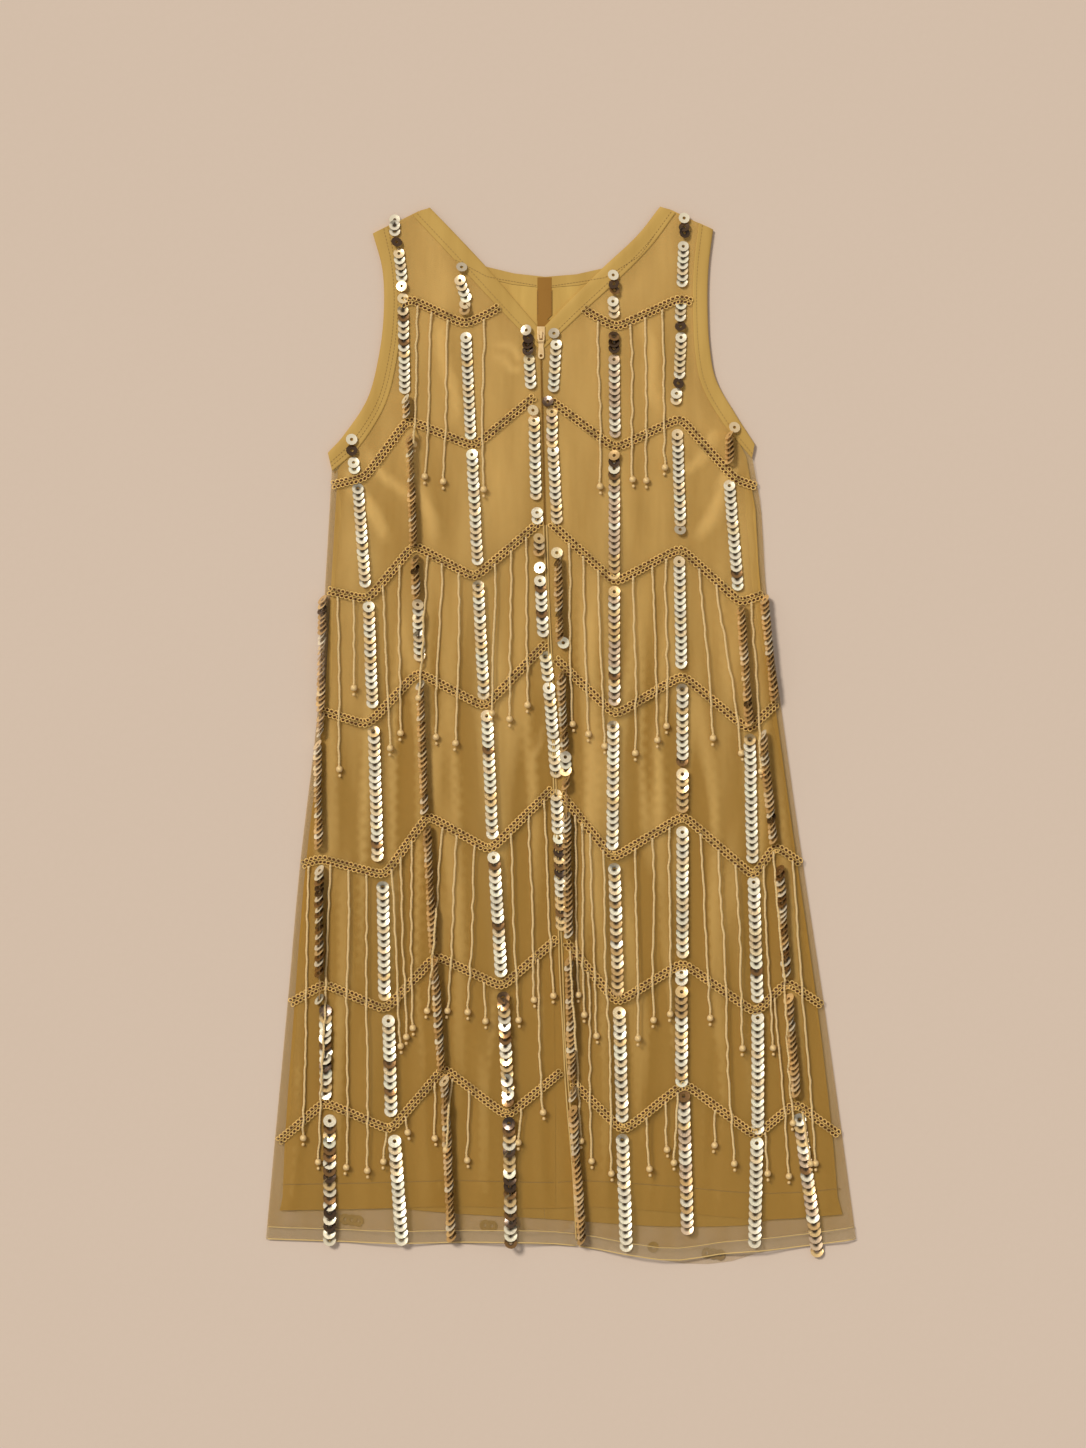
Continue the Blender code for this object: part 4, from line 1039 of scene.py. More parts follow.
class Modelling:
    """Small hard shapes, modelled from primitives."""

    @staticmethod
    def start() -> None:
        """Enter edit mode on the active object with all of it selected."""
        bpy.ops.object.mode_set(mode="EDIT")
        bpy.ops.mesh.select_all(action="SELECT")

    @classmethod
    def sequin(cls, radius: float, hole: float, depth: float, thickness: float) -> Stamp:
        """Model a cupped sequin with a centre hole.

        Args:
            radius: the rim's radius.
            hole: the hole's radius.
            depth: how far the rim stands above the hole.
            thickness: the foil's thickness.

        Returns:
            The sequin as a stamp, with painted shadow round its hole and on the part under the disc above.
        """
        deselect_all()
        bpy.ops.mesh.primitive_circle_add(vertices=12, radius=hole)
        disc = bpy.context.object
        cls.start()
        middle = radius * 0.62
        for reach, lift in ((middle / hole, depth * 0.3), (radius / middle, depth * 0.7)):
            bpy.ops.mesh.extrude_edges_move()
            bpy.ops.transform.resize(value=(reach, reach, 1.0), center_override=MIDDLE)
            bpy.ops.transform.translate(value=(0.0, 0.0, lift))
        bpy.ops.mesh.select_all(action="SELECT")
        bpy.ops.mesh.normals_make_consistent(inside=False)
        bpy.ops.object.mode_set(mode="OBJECT")
        apply_modifier(disc, "SOLIDIFY", thickness=thickness, offset=0.0)
        stamp = Stamp(disc)
        # Painted shadow: the ring round the hole is darkened most, and the disc's upper part, which lies
        # under the disc above, less.
        for index, place in enumerate(stamp.places):
            if place.xy.length < hole * 1.25:
                stamp.painted_shadows[index] = 0.14
            elif place.x > radius * 0.28:
                stamp.painted_shadows[index] = 0.36
        return stamp

    @classmethod
    def link(cls, length: float, width: float, thickness: float) -> Stamp:
        """Model one long loop of the crocheted braid.

        Args:
            length: the loop's length.
            width: its width.
            thickness: the thread's thickness.

        Returns:
            The loop as a stamp, with its length along X.
        """
        deselect_all()
        thread = thickness / 2
        bpy.ops.mesh.primitive_torus_add(
            major_segments=8, minor_segments=4, major_radius=width / 2 - thread, minor_radius=thread)
        ring = bpy.context.object
        cls.start()
        bpy.ops.transform.resize(value=(length / width, 1.0, 1.15), center_override=MIDDLE)
        bpy.ops.mesh.select_all(action="DESELECT")
        bpy.ops.object.mode_set(mode="OBJECT")
        for vertex in ring.data.vertices:
            vertex.select = vertex.co.x > length * 0.2
        bpy.ops.object.mode_set(mode="EDIT")
        bpy.ops.transform.translate(value=(0.0, 0.0, thickness * 0.3))
        bpy.ops.transform.resize(value=(1.0, 0.75, 1.0), center_override=MIDDLE)
        bpy.ops.object.mode_set(mode="OBJECT")
        return Stamp(ring)

    @classmethod
    def bead(cls, radius: float, length: float, segments: int, rings: int) -> Stamp:
        """Model a round bead with flattened ends.

        Args:
            radius: the bead's radius.
            length: its length along X.
            segments: faces round it.
            rings: faces along it.

        Returns:
            The bead as a stamp.
        """
        deselect_all()
        bpy.ops.mesh.primitive_uv_sphere_add(segments=segments, ring_count=rings, radius=radius)
        ball = bpy.context.object
        cls.start()
        bpy.ops.transform.rotate(value=math.pi / 2, orient_axis="Y", center_override=MIDDLE)
        bpy.ops.transform.resize(value=(length / (2 * radius), 1.0, 1.0), center_override=MIDDLE)
        bpy.ops.mesh.select_all(action="DESELECT")
        bpy.ops.object.mode_set(mode="OBJECT")
        for vertex in ball.data.vertices:
            vertex.select = abs(vertex.co.x) > length * 0.49
        bpy.ops.object.mode_set(mode="EDIT")
        bpy.ops.transform.resize(value=(0.82, 1.0, 1.0), center_override=MIDDLE)
        bpy.ops.object.mode_set(mode="OBJECT")
        return Stamp(ball)


def frame_at(place: Vector, along: Vector) -> Matrix:
    """Return a matrix at a place whose X runs along a direction and whose Z is nearest up.

    Args:
        place: the origin.
        along: the X direction.

    Returns:
        The matrix.
    """
    x_axis = along.normalized()
    y_axis = UP.cross(x_axis).normalized()
    z_axis = x_axis.cross(y_axis)
    return Matrix.Translation(place) @ Matrix((x_axis, y_axis, z_axis)).transposed().to_4x4()


def dress_piece(made: bpy.types.Object, slot: str, *nodes: str) -> bpy.types.Object:
    """Make a piece part of the dress.

    Args:
        made: the piece.
        slot: a material slot's name, not used.
        nodes: the CAD nodes that it stands for.

    Returns:
        The piece.
    """
    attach(made, "dress")
    if nodes:
        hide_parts(*nodes)
    LOG.info("%s: %d faces", made.name, len(made.data.polygons))
    return made


@dataclass
class ClothPanel:
    """A flat-cut panel, on the outline and height of its own CAD node."""

    node: str
    slot: str
    thickness: float
    rests_on: tuple[str, ...] = ()
    creased: float = 0.0
    hem_band: float = 0.0
    grid: float = 7.0
    relaxing: int = 14
    strip_width: float = 0.0

    def outline(self) -> list[Vector]:
        """Return the loop round the node's upper faces, in metres."""
        bm = bmesh.new()
        bm.from_mesh(bpy.data.objects[self.node].data)
        bmesh.ops.remove_doubles(bm, verts=bm.verts, dist=1e-6)
        bmesh.ops.recalc_face_normals(bm, faces=bm.faces)
        upper = {face for face in bm.faces if face.normal.z > FACES_UP}
        links: dict[int, list[int]] = {}
        places = {vertex.index: vertex.co.copy() for vertex in bm.verts}
        for edge in bm.edges:
            if sum(face in upper for face in edge.link_faces) == 1:
                a, b = (vertex.index for vertex in edge.verts)
                links.setdefault(a, []).append(b)
                links.setdefault(b, []).append(a)
        bm.free()
        loops = []
        while links:
            start = next(iter(links))
            loop, here = [], start
            while here in links:
                following = links.pop(here)
                loop.append(places[here])
                here = next((index for index in following if index in links), -1)
            loops.append(loop)
        return max(loops, key=lambda loop: sum((b - a).length for a, b in zip(loop, loop[1:])))

    def hem_line(self, border: Sequence[Vector]) -> list[Vector]:
        """Return the hem's points from left to right."""
        low = [point for point in border if to_drop(point.y) > 1024]
        return sorted(low, key=lambda point: point.x)

    def grid_points(self, relief: Relief, border: Sequence[Vector]) -> list[Vector]:
        """Return staggered points inside the outline.

        Args:
            relief: the node's own height.
            border: the outline's points.

        Returns:
            The points, at the node's height.
        """
        step = self.grid * MM
        near = tree_of(border)
        low_x, high_x = min(p.x for p in border), max(p.x for p in border)
        low_y, high_y = min(p.y for p in border), max(p.y for p in border)
        points = []
        for row in range(int((high_y - low_y) / (step * 0.87)) + 1):
            y = low_y + row * step * 0.87
            for column in range(int((high_x - low_x) / step) + 2):
                x = low_x + (column + 0.5 * (row % 2)) * step
                if relief.faces_up(x, y) and near.find((x, y, 0.0))[2] > step * 0.55:
                    points.append(Vector((x, y, relief.top(x, y))))
        return points

    def sheet_mesh(self) -> bpy.types.Mesh:
        """Return the panel's upper face as a fine triangulated mesh."""
        relief = Relief([bpy.data.objects[self.node]])
        border = []
        loop = self.outline()
        for start, end in zip(loop, loop[1:] + loop[:1]):
            count = max(int((end - start).length / (self.grid * MM) + 0.5), 1)
            border += [start + (end - start) * (step / count) for step in range(count)]
        points = list(border)
        edges = [(index, (index + 1) % len(border)) for index in range(len(border))]
        hem = self.hem_line(border) if self.hem_band else []
        if hem:
            raised = [point + Vector((0.0, self.hem_band * MM, 0.0)) for point in hem[2:-2]]
            raised = [Vector((p.x, p.y, relief.top_or(p.x, p.y, p.z))) for p in raised]
            first = len(points)
            points += raised
            edges += [(index, index + 1) for index in range(first, len(points) - 1)]
        keep = len(border)
        inner = self.grid_points(relief, points)
        points += inner
        flat = [Vector((point.x, point.y)) for point in points]
        spots, _, faces, origins, _, _ = delaunay_2d_cdt(flat, edges, [], 1, 1e-7)
        mesh = bpy.data.meshes.new(self.node + "_cloth")
        low = min(point.z for point in border)
        heights = [points[source[0]].z if source else relief.top_or(spot.x, spot.y, low)
                   for spot, source in zip(spots, origins)]
        fixed = {index for index, source in enumerate(origins) if source and source[0] < keep}
        self.relax(heights, faces, fixed, self.relaxing)
        if self.creased:
            rim = tree_of(border)
            for index, spot in enumerate(spots):
                inward = smooth(rim.find((spot.x, spot.y, 0.0))[2] / (22 * MM))
                lift = crease_height(spot.x / MM, to_drop(spot.y))
                heights[index] += lift * MM * self.creased * (0.15 + 0.85 * inward)
        mesh.from_pydata([(spot.x, spot.y, height) for spot, height in zip(spots, heights)], [], faces)
        if self.creased:
            # Each point's depth below its smoothed neighbours, kept for the painted shade in the folds'
            # hollows.
            level = list(heights)
            self.relax(level, faces, set(), 30)
            depths = mesh.attributes.new("valley", "FLOAT", "POINT")
            hollow = [(mean - height) / (1.4 * MM) for mean, height in zip(level, heights)]
            depths.data.foreach_set("value", [max(min(depth, 0.8), -0.5) for depth in hollow])
        if hem:
            rise = Profile([(point.x, point.y) for point in hem[::3]])
            for face in mesh.polygons:
                if face.center.y - rise(face.center.x) < self.hem_band * MM:
                    face.material_index = 1
        return mesh

    def relax(self, heights: list[float], faces: Sequence[Sequence[int]], fixed: set[int],
              passes: int) -> None:
        """Round the node's broad facets into soft folds.

        Args:
            heights: the points' heights, which change.
            faces: the faces as point numbers.
            fixed: points that keep their height.
            passes: how often the heights are evened.
        """
        near: list[set[int]] = [set() for _ in heights]
        for face in faces:
            for index in face:
                near[index].update(other for other in face if other != index)
        for _ in range(passes):
            before = list(heights)
            for index, around in enumerate(near):
                if around and index not in fixed:
                    mean = sum(before[other] for other in around) / len(around)
                    heights[index] = 0.4 * before[index] + 0.6 * mean

    def build(self, name: str, *materials: bpy.types.Material) -> bpy.types.Object:
        """Make the panel, with its thickness below its upper face.

        Args:
            name: the piece's name.
            materials: its finish, and the doubled hem's where it has one.

        Returns:
            The finished piece.
        """
        mesh = self.sheet_mesh()
        made = new_object(name, mesh, *materials)
        bm = bmesh.new()
        bm.from_mesh(mesh)
        bmesh.ops.recalc_face_normals(bm, faces=bm.faces)
        if sum(face.normal.z for face in bm.faces) < 0:
            bmesh.ops.reverse_faces(bm, faces=bm.faces)
        bm.to_mesh(mesh)
        bm.free()
        low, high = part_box(self.node)
        apply_modifier(made, "SOLIDIFY", thickness=self.thickness * MM, offset=-1.0, use_even_offset=False)
        shade_smooth(made, 60.0)
        dress_piece(made, self.slot, self.node)
        return made


@dataclass
class Binding:
    """A folded bias strip along a bound edge."""

    node: str
    stations: tuple[Strip, ...]
    bottom: float
    top: float
    lap: float = 1.6
    step: float = 3.0
    second_row: bool = False

    def rows(self) -> list[Strip]:
        """Return closely spaced stations along the strip."""
        columns = [Profile(list(enumerate(column))) for column in zip(*self.stations)]
        length = sum(math.hypot(b.seam_x - a.seam_x, b.seam_drop - a.seam_drop)
                     for a, b in zip(self.stations, self.stations[1:]))
        count = int(length / self.step)
        last = len(self.stations) - 1
        return [Strip(*[column(last * step / count) for column in columns]) for step in range(count + 1)]

    def section(self, row: Strip, wobble: float) -> list[Vector]:
        """Return the strip's section at a station, as a closed ring.

        Args:
            row: the station.
            wobble: a small uneven lift of the crown, in millimetres.

        Returns:
            The ring's points in metres.
        """
        seam = Vector((row.seam_x * MM, to_y(row.seam_drop)))
        edge = Vector((row.edge_x * MM, to_y(row.edge_drop)))
        span = edge - seam
        across = span.normalized()
        width = span.length / MM
        inner = -self.lap if self.top > 3 else 0.3
        high = self.top + (0.35 if self.top > 3 else 0.0)
        crown = 0.35 + wobble
        outline = [
            (inner, high - 0.75), (inner + 0.3, high - 0.25), (inner + 1.2, high - 0.02),
            (inner + 2.4, high - 0.35),
            (width * 0.42, high + crown * 0.6), (width * 0.72, high + crown * 0.7),
            (width - 1.4, high - 0.1), (width - 0.3, high - 0.7), (width, (high + self.bottom) / 2),
            (width - 0.4, self.bottom + 0.25), (width - 1.6, self.bottom), (inner + 0.6, self.bottom),
        ]
        return [Vector((*(seam + across * (reach * MM)), height * MM)) for reach, height in outline]

    def build(self, name: str, material: bpy.types.Material) -> bpy.types.Object:
        """Make the strip.

        Args:
            name: the piece's name.
            material: its finish.

        Returns:
            The finished piece.
        """
        rows = self.rows()
        bm = bmesh.new()
        rings = []
        for row in rows:
            wobble = 0.22 * noise.noise(Vector((row.seam_x / 9, row.seam_drop / 9, 0.5)))
            rings.append([bm.verts.new(point) for point in self.section(row, wobble)])
        for ring, following in zip(rings, rings[1:]):
            for corner in range(len(ring)):
                after = (corner + 1) % len(ring)
                bm.faces.new((ring[corner], ring[after], following[after], following[corner]))
        bm.faces.new(rings[0])
        bm.faces.new(rings[-1])
        bmesh.ops.recalc_face_normals(bm, faces=bm.faces)
        mesh = bpy.data.meshes.new(name)
        bm.to_mesh(mesh)
        bm.free()
        made = new_object(name, mesh, material)
        shade_smooth(made, 60.0)
        dress_piece(made, "binding", self.node)
        length = sum(math.hypot(b.edge_x - a.edge_x, b.edge_drop - a.edge_drop)
                     for a, b in zip(rows, rows[1:])) * MM
        width = sum(math.hypot(row.edge_x - row.seam_x, row.edge_drop - row.seam_drop)
                    for row in rows) / len(rows) * MM + 0.002
        return made

    def stitch_line(self, share: float) -> list[Vector]:
        """Return a line along the strip's face at a share of its width."""
        points = []
        for row in self.rows():
            seam = Vector((row.seam_x * MM, to_y(row.seam_drop), (self.top + 0.4) * MM))
            edge = Vector((row.edge_x * MM, to_y(row.edge_drop), (self.top + 0.4) * MM))
            points.append(seam + (edge - seam) * share)
        return points


class Stitching:
    """Rows of machine stitches, laid on the cloth."""

    def __init__(self, stamp: Stamp) -> None:
        """Keep the stitch's shape."""
        self.stamp = stamp
        self.cluster = Cluster()

    def sew(self, line: Sequence[Vector], relief: Relief, pitch: float = 3.4) -> None:
        """Lay a row of stitches along a line.

        Args:
            line: the row's line.
            relief: the cloth that it lies on.
            pitch: the stitches' pitch in millimetres.
        """
        points = resample(line, pitch * MM)
        for start, end in zip(points, points[1:]):
            middle = (start + end) / 2
            relief.drape([middle], middle.z, STITCH_LIFT)
            self.cluster.add(self.stamp, frame_at(middle, Vector((end.x - start.x, end.y - start.y, 0.0))))

    def build(self, name: str, material: bpy.types.Material, slot: str) -> bpy.types.Object:
        """Return the rows as one piece."""
        return dress_piece(self.cluster.build(name, material), slot)


@dataclass
class SequinStrings:
    """The strings of overlapping sequins that run down the dress."""

    radius: float = 6.0
    hole: float = 1.8
    depth: float = 0.4
    thickness: float = 0.3
    pitch: float = 6.35
    lean: float = 16.0
    seed: int = 11

    def tone(self, kind: Tone, chance: random.Random) -> Colour:
        """Pick one sequin's colour and shine; some tones are partly painted highlight and painted shade.

        Args:
            kind: which sequins the run holds.
            chance: the run's own random numbers.

        Returns:
            The colour, with the shine as the fourth value.
        """
        # Gold, pink, amber, bronze and clear are sequin colours; the bright tone is partly painted highlight,
        # and the brown and dark tones are partly painted shade, for sequins turned towards and away from the
        # light.
        bright, gold = (1.0, 0.88, 0.64, 0.4), (1.0, 0.76, 0.44, 0.5)
        brown, dark = (0.3, 0.15, 0.045, 0.6), (0.08, 0.04, 0.015, 0.5)
        pink, clear = (0.84, 0.61, 0.39, 0.6), (0.58, 0.48, 0.33, 0.25)
        amber, bronze = (0.92, 0.63, 0.28, 0.5), (0.66, 0.41, 0.16, 0.4)
        mixes = {
            Tone.BRIGHT: ((bright, 0.7), (gold, 0.26), (brown, 0.04)),
            Tone.GOLD: ((bright, 0.6), (gold, 0.3), (amber, 0.07), (brown, 0.03)),
            Tone.PINK: ((pink, 0.48), (bright, 0.17), (amber, 0.2), (bronze, 0.1), (brown, 0.05)),
            Tone.BROWN: ((amber, 0.28), (bronze, 0.3), (gold, 0.22), (bright, 0.17), (dark, 0.03)),
            Tone.DARK: ((dark, 0.75), (brown, 0.15), (clear, 0.1)),
            Tone.MIXED: ((brown, 0.22), (amber, 0.22), (bright, 0.42), (dark, 0.14)),
            Tone.CLEAR: ((clear, 0.7), (bright, 0.15), (gold, 0.15)),
        }
        pick = chance.random()
        colour = mixes[kind][-1][0]
        for option, share in mixes[kind]:
            if pick < share:
                colour = option
                break
            pick -= share
        shade = 0.88 + 0.18 * chance.random()
        return (*(min(part * shade, 1.0) for part in colour[:3]), colour[3])

    def place_run(self, run: Run, cluster: Cluster, stamp: Stamp, cloth: Relief, braids: Relief,
                  chance: random.Random) -> None:
        """Lay the sequins of one run.

        Args:
            run: where the run goes and how it lies.
            cluster: the string's mesh so far.
            stamp: the sequin.
            cloth: the height of the cloth.
            braids: the braids, which no sequin lies on.
            chance: the string's random numbers.
        """
        start = Vector((run.top_x * MM, to_y(run.top_drop), 0.0))
        end = Vector((run.low_x * MM, to_y(run.low_drop), 0.0))
        down = (end - start).normalized()
        size = 0.93 + 0.2 * run.top_drop / DRESS_LENGTH
        pitch = self.pitch * size * (0.8 if run.lay is Lay.EDGE else 1.0) * MM
        count = int((end - start).length / pitch) + 1
        turn = {Lay.FLAT: 4.0, Lay.LOOSE: 22.0, Lay.EDGE: 9.0}[run.lay]
        thread: list[Vector] = []
        for index in range(count):
            place = start + down * (index * pitch)
            place.x += chance.uniform(-0.25, 0.25) * MM
            ahead = [braids.top(place.x, place.y - reach * MM) for reach in (-4.0, 0.0, 5.0)]
            if any(height is not None for height in ahead):
                continue
            roll = chance.uniform(-turn, turn)
            lean = self.lean + chance.uniform(-1.5, 1.5)
            if run.lay is Lay.EDGE:
                roll -= 60.0 + 7.0 * math.sin(index * 0.4 + run.top_drop)
                lean += 20.0
            elif run.lay is Lay.LOOSE:
                lean += chance.uniform(-8, 14)
            reach = self.radius * size * abs(math.sin(math.radians(roll)))
            place.z = cloth.top_or(place.x, place.y, 0.0025) + (0.75 + reach * 0.92) * MM
            if run.lay is Lay.LOOSE:
                place.z += 1.2 * MM
            matrix = frame_at(place, -down)
            matrix = matrix @ Matrix.Rotation(math.radians(roll), 4, "X")
            matrix = matrix @ Matrix.Rotation(math.radians(lean), 4, "Y")
            matrix = matrix @ Matrix.Rotation(chance.uniform(-0.2, 0.2), 4, "Z") @ Matrix.Scale(size * MM, 4)
            # Every disc but a run's first takes the painted shadow of the disc above it.
            cluster.add(stamp, matrix, self.tone(run.tone, chance), shaded=index > 0)
            thread.append(place - Vector((0.0, 0.0, 0.35 * MM)))
        # The thread through the holes is near black on flat and loose runs: partly the thread and partly
        # painted shade in each sequin's notch.
        if len(thread) > 2:
            edge_on = run.lay is Lay.EDGE
            colour = (0.4, 0.23, 0.08, 0.0) if edge_on else (0.05, 0.028, 0.01, 0.0)
            cluster.add_tube(thread, [(0.6 if edge_on else 1.15) * MM] * len(thread), 5, colour)

    def build(self, finishes: Finishes, cloth: Relief, braids: Relief) -> list[bpy.types.Object]:
        """Make every string.

        Args:
            finishes: the dress's finishes.
            cloth: the height of the cloth.
            braids: the braids' height.

        Returns:
            One piece for each string.
        """
        stamp = Modelling.sequin(self.radius, self.hole, self.depth, self.thickness)
        made = []
        for number, (letter, runs) in enumerate(STRINGS.items()):
            chance = random.Random(self.seed + number)
            cluster = Cluster()
            for run in runs:
                self.place_run(run, cluster, stamp, cloth, braids, chance)
            made.append(dress_piece(cluster.build("sequin_string_" + letter, finishes.sequin, 40.0), "braid"))
        return made


@dataclass
class Braid:
    """One crocheted braid: two rows of loops that mirror each other."""

    name: str
    pitch: float = 4.5
    offset: float = 2.35
    slant: float = 32.0
    core_and_shade: float = 1.25

    def line(self, cloth: Relief) -> list[Vector]:
        """Return the braid's path on the cloth, in even steps."""
        places = [Vector((place.x * MM, to_y(place.drop), 0.0)) for place in BRAIDS[self.name]]
        points = soften(resample(places, self.pitch * MM), 2)
        cloth.drape(points, 0.0035, 1.35)
        heights = [point.z for point in points]
        for index, point in enumerate(points):
            point.z = max(heights[max(index - 1, 0): index + 2])
        return soften(points, 1)

    def add_loops(self, cluster: Cluster, stamp: Stamp, cloth: Relief) -> None:
        """Lay both rows of loops.

        Args:
            cluster: the piece's mesh so far.
            stamp: one loop.
            cloth: the height of the cloth.
        """
        line = self.line(cloth)
        chance = random.Random(self.name)
        # Dark core threads under the loops: partly the braid's darker ground thread and partly painted shade,
        # so the holes between the loops read dark.
        for side in (-1, 1):
            beside = Vector((0.0, side * self.offset * 0.9 * MM, -1.0 * MM))
            core_and_shade = [frame_at(point, heading(line, index)) @ beside for index, point in enumerate(line)]
            cluster.add_tube(core_and_shade, [self.core_and_shade * MM] * len(core_and_shade), 5, (0.1, 0.045, 0.012, 1.0))
        for index, point in enumerate(line):
            base = frame_at(point, heading(line, index))
            for side in (-1, 1):
                turn = Matrix.Rotation(math.radians(-side * (self.slant + chance.uniform(-5, 5))), 4, "Z")
                tip = Matrix.Rotation(math.radians(-7 + chance.uniform(-3, 3)), 4, "Y")
                shift = Matrix.Translation((chance.uniform(-0.2, 0.2) * MM, side * self.offset * MM, 0.0))
                glint = chance.choice((0.66, 0.92, 1.0, 1.0))
                matrix = base @ shift @ turn @ tip @ Matrix.Scale(MM, 4)
                cluster.add(stamp, matrix, (glint, glint, glint, 1.0))

    def build(self, stamp: Stamp, cloth: Relief, material: bpy.types.Material) -> bpy.types.Object:
        """Return the finished braid."""
        cluster = Cluster()
        self.add_loops(cluster, stamp, cloth)
        return dress_piece(cluster.build(self.name + "_loops", material), "braid", self.name)


@dataclass
class Fringe:
    """The twisted strands that hang from one braid, each with its beads."""

    braid: str
    ply: float = 0.62
    twist: float = 6.2
    step: float = 1.25
    corners: int = 4
    reach: int = 3
    floor: float = 0.003

    def centre(self, strand: Strand, below: Relief, chance: random.Random) -> list[Vector]:
        """Work out a strand's centre line.

        Args:
            strand: where it starts and ends.
            below: what it lies on.
            chance: the braid's random numbers.

        Returns:
            Points from the braid to the bead.
        """
        places = BRAIDS[self.braid]
        root_drop = next(
            a.drop + (b.drop - a.drop) * (strand.root_x - a.x) / (b.x - a.x)
            for a, b in zip(places, places[1:])
            if min(a.x, b.x) - 0.01 <= strand.root_x <= max(a.x, b.x) + 0.01)
        root = Vector((strand.root_x, root_drop + 3.6))
        tip = Vector((strand.tip_x, strand.tip_drop))
        length = (tip - root).length
        count = max(int(length / self.step), 6)
        phase, sway = chance.uniform(0, math.tau), chance.uniform(0.3, 1.1)
        line = []
        for index in range(count + 1):
            share = index / count
            spot = root.lerp(tip, share)
            bend = sway * math.sin(phase + share * length / 34)
            bend += 1.3 * noise.noise(Vector((index / 9, strand.tip_x, 0.2)))
            bend *= min(share * 8, 1)
            line.append(Vector(((spot.x + bend) * MM, to_y(spot.y), 0.0)))
        below.drape(line, self.floor, 0.0)
        heights = [max(point.z for point in line[max(index - self.reach, 0): index + self.reach + 1])
                   for index in range(len(line))]
        for _ in range(4):
            before, after = heights[:1] + heights, heights[1:] + heights[-1:]
            heights = [max(h, (a + 2 * h + b) / 4) for a, h, b in zip(before, heights, after)]
        for point, height in zip(line, heights):
            point.z = height + 1.15 * MM
        return line

    def build(self, below: Relief, bead: Stamp, drop: Stamp, finishes: Finishes) -> list[bpy.types.Object]:
        """Make the strands and the beads of one braid.

        Args:
            below: what the strands lie on.
            bead: the round bead.
            drop: the small bead at the very end.
            finishes: the dress's finishes.

        Returns:
            The strands and the beads as two pieces.
        """
        chance = random.Random(self.braid)
        strands, beads = Cluster(), Cluster()
        for strand in FRINGE[self.braid]:
            line = self.centre(strand, below, chance)
            start = chance.uniform(0, math.tau)
            for ply in (0.0, math.pi):
                twisted, walked = [], 0.0
                for index, point in enumerate(line):
                    walked += (point - line[index - 1]).length / MM if index else 0.0
                    along = heading(line, index).normalized()
                    side = along.cross(UP).normalized()
                    angle = start + ply + math.tau * walked / self.twist
                    offset = side * math.cos(angle) + side.cross(along) * math.sin(angle)
                    twisted.append(point + offset * (self.ply * MM))
                radii = [self.ply * MM * (1.12 + 0.5 * noise.noise(Vector((index / 3, strand.tip_x, ply))))
                         for index in range(len(twisted))]
                strands.add_tube(twisted, radii, self.corners)
            along = line[-1] - line[-4]
            end = line[-1].copy()
            below.drape([end], self.floor, 3.2)
            low = end + along.normalized() * (6.6 * MM)
            below.drape([low], self.floor, 1.8)
            for shape, place in ((bead, end), (drop, low)):
                beads.add(shape, frame_at(place, along) @ Matrix.Scale(MM, 4))
        return [
            dress_piece(strands.build(self.braid + "_strands", finishes.strand), "braid"),
            dress_piece(beads.build(self.braid + "_beads", finishes.bead), "braid"),
        ]


@dataclass
class Zip:
    """The centre-front zip: its coils, its slider and its pull."""

    start: float = 147.0
    end: float = 318.0
    height: float = 4.6
    radius: float = 0.9
    pitch: float = 1.5
    wire: float = 0.42
    steps: int = 6

    def build(self, finishes: Finishes) -> None:
        """Make the coils, and give the slider and the pull their finish.

        Args:
            finishes: the dress's finishes.
        """
        middle = Profile([(place.drop, place.x) for place in CENTRE_FRONT])
        count = int((self.end - self.start) / self.pitch) * self.steps
        line = []
        for index in range(count + 1):
            drop = self.start + (self.end - self.start) * index / count
            angle = math.tau * index / self.steps
            x = middle(drop) * MM + self.radius * math.cos(angle) * MM
            z = (self.height + self.radius * math.sin(angle) * 0.7) * MM
            line.append(Vector((x, to_y(drop), z)))
        cluster = Cluster()
        cluster.add_tube(line, [self.wire * MM] * len(line), 4)
        dress_piece(cluster.build("zip_coil", finishes.tape), "tape")
        for name in ("zip_slider", "zip_pull"):
            node = bpy.data.objects[name]
            for slot in node.material_slots:
                slot.material = finishes.zip
            bevel = node.modifiers.new("Bevel", "BEVEL")
            bevel.width, bevel.segments, bevel.limit_method = 0.00018, 2, "ANGLE"


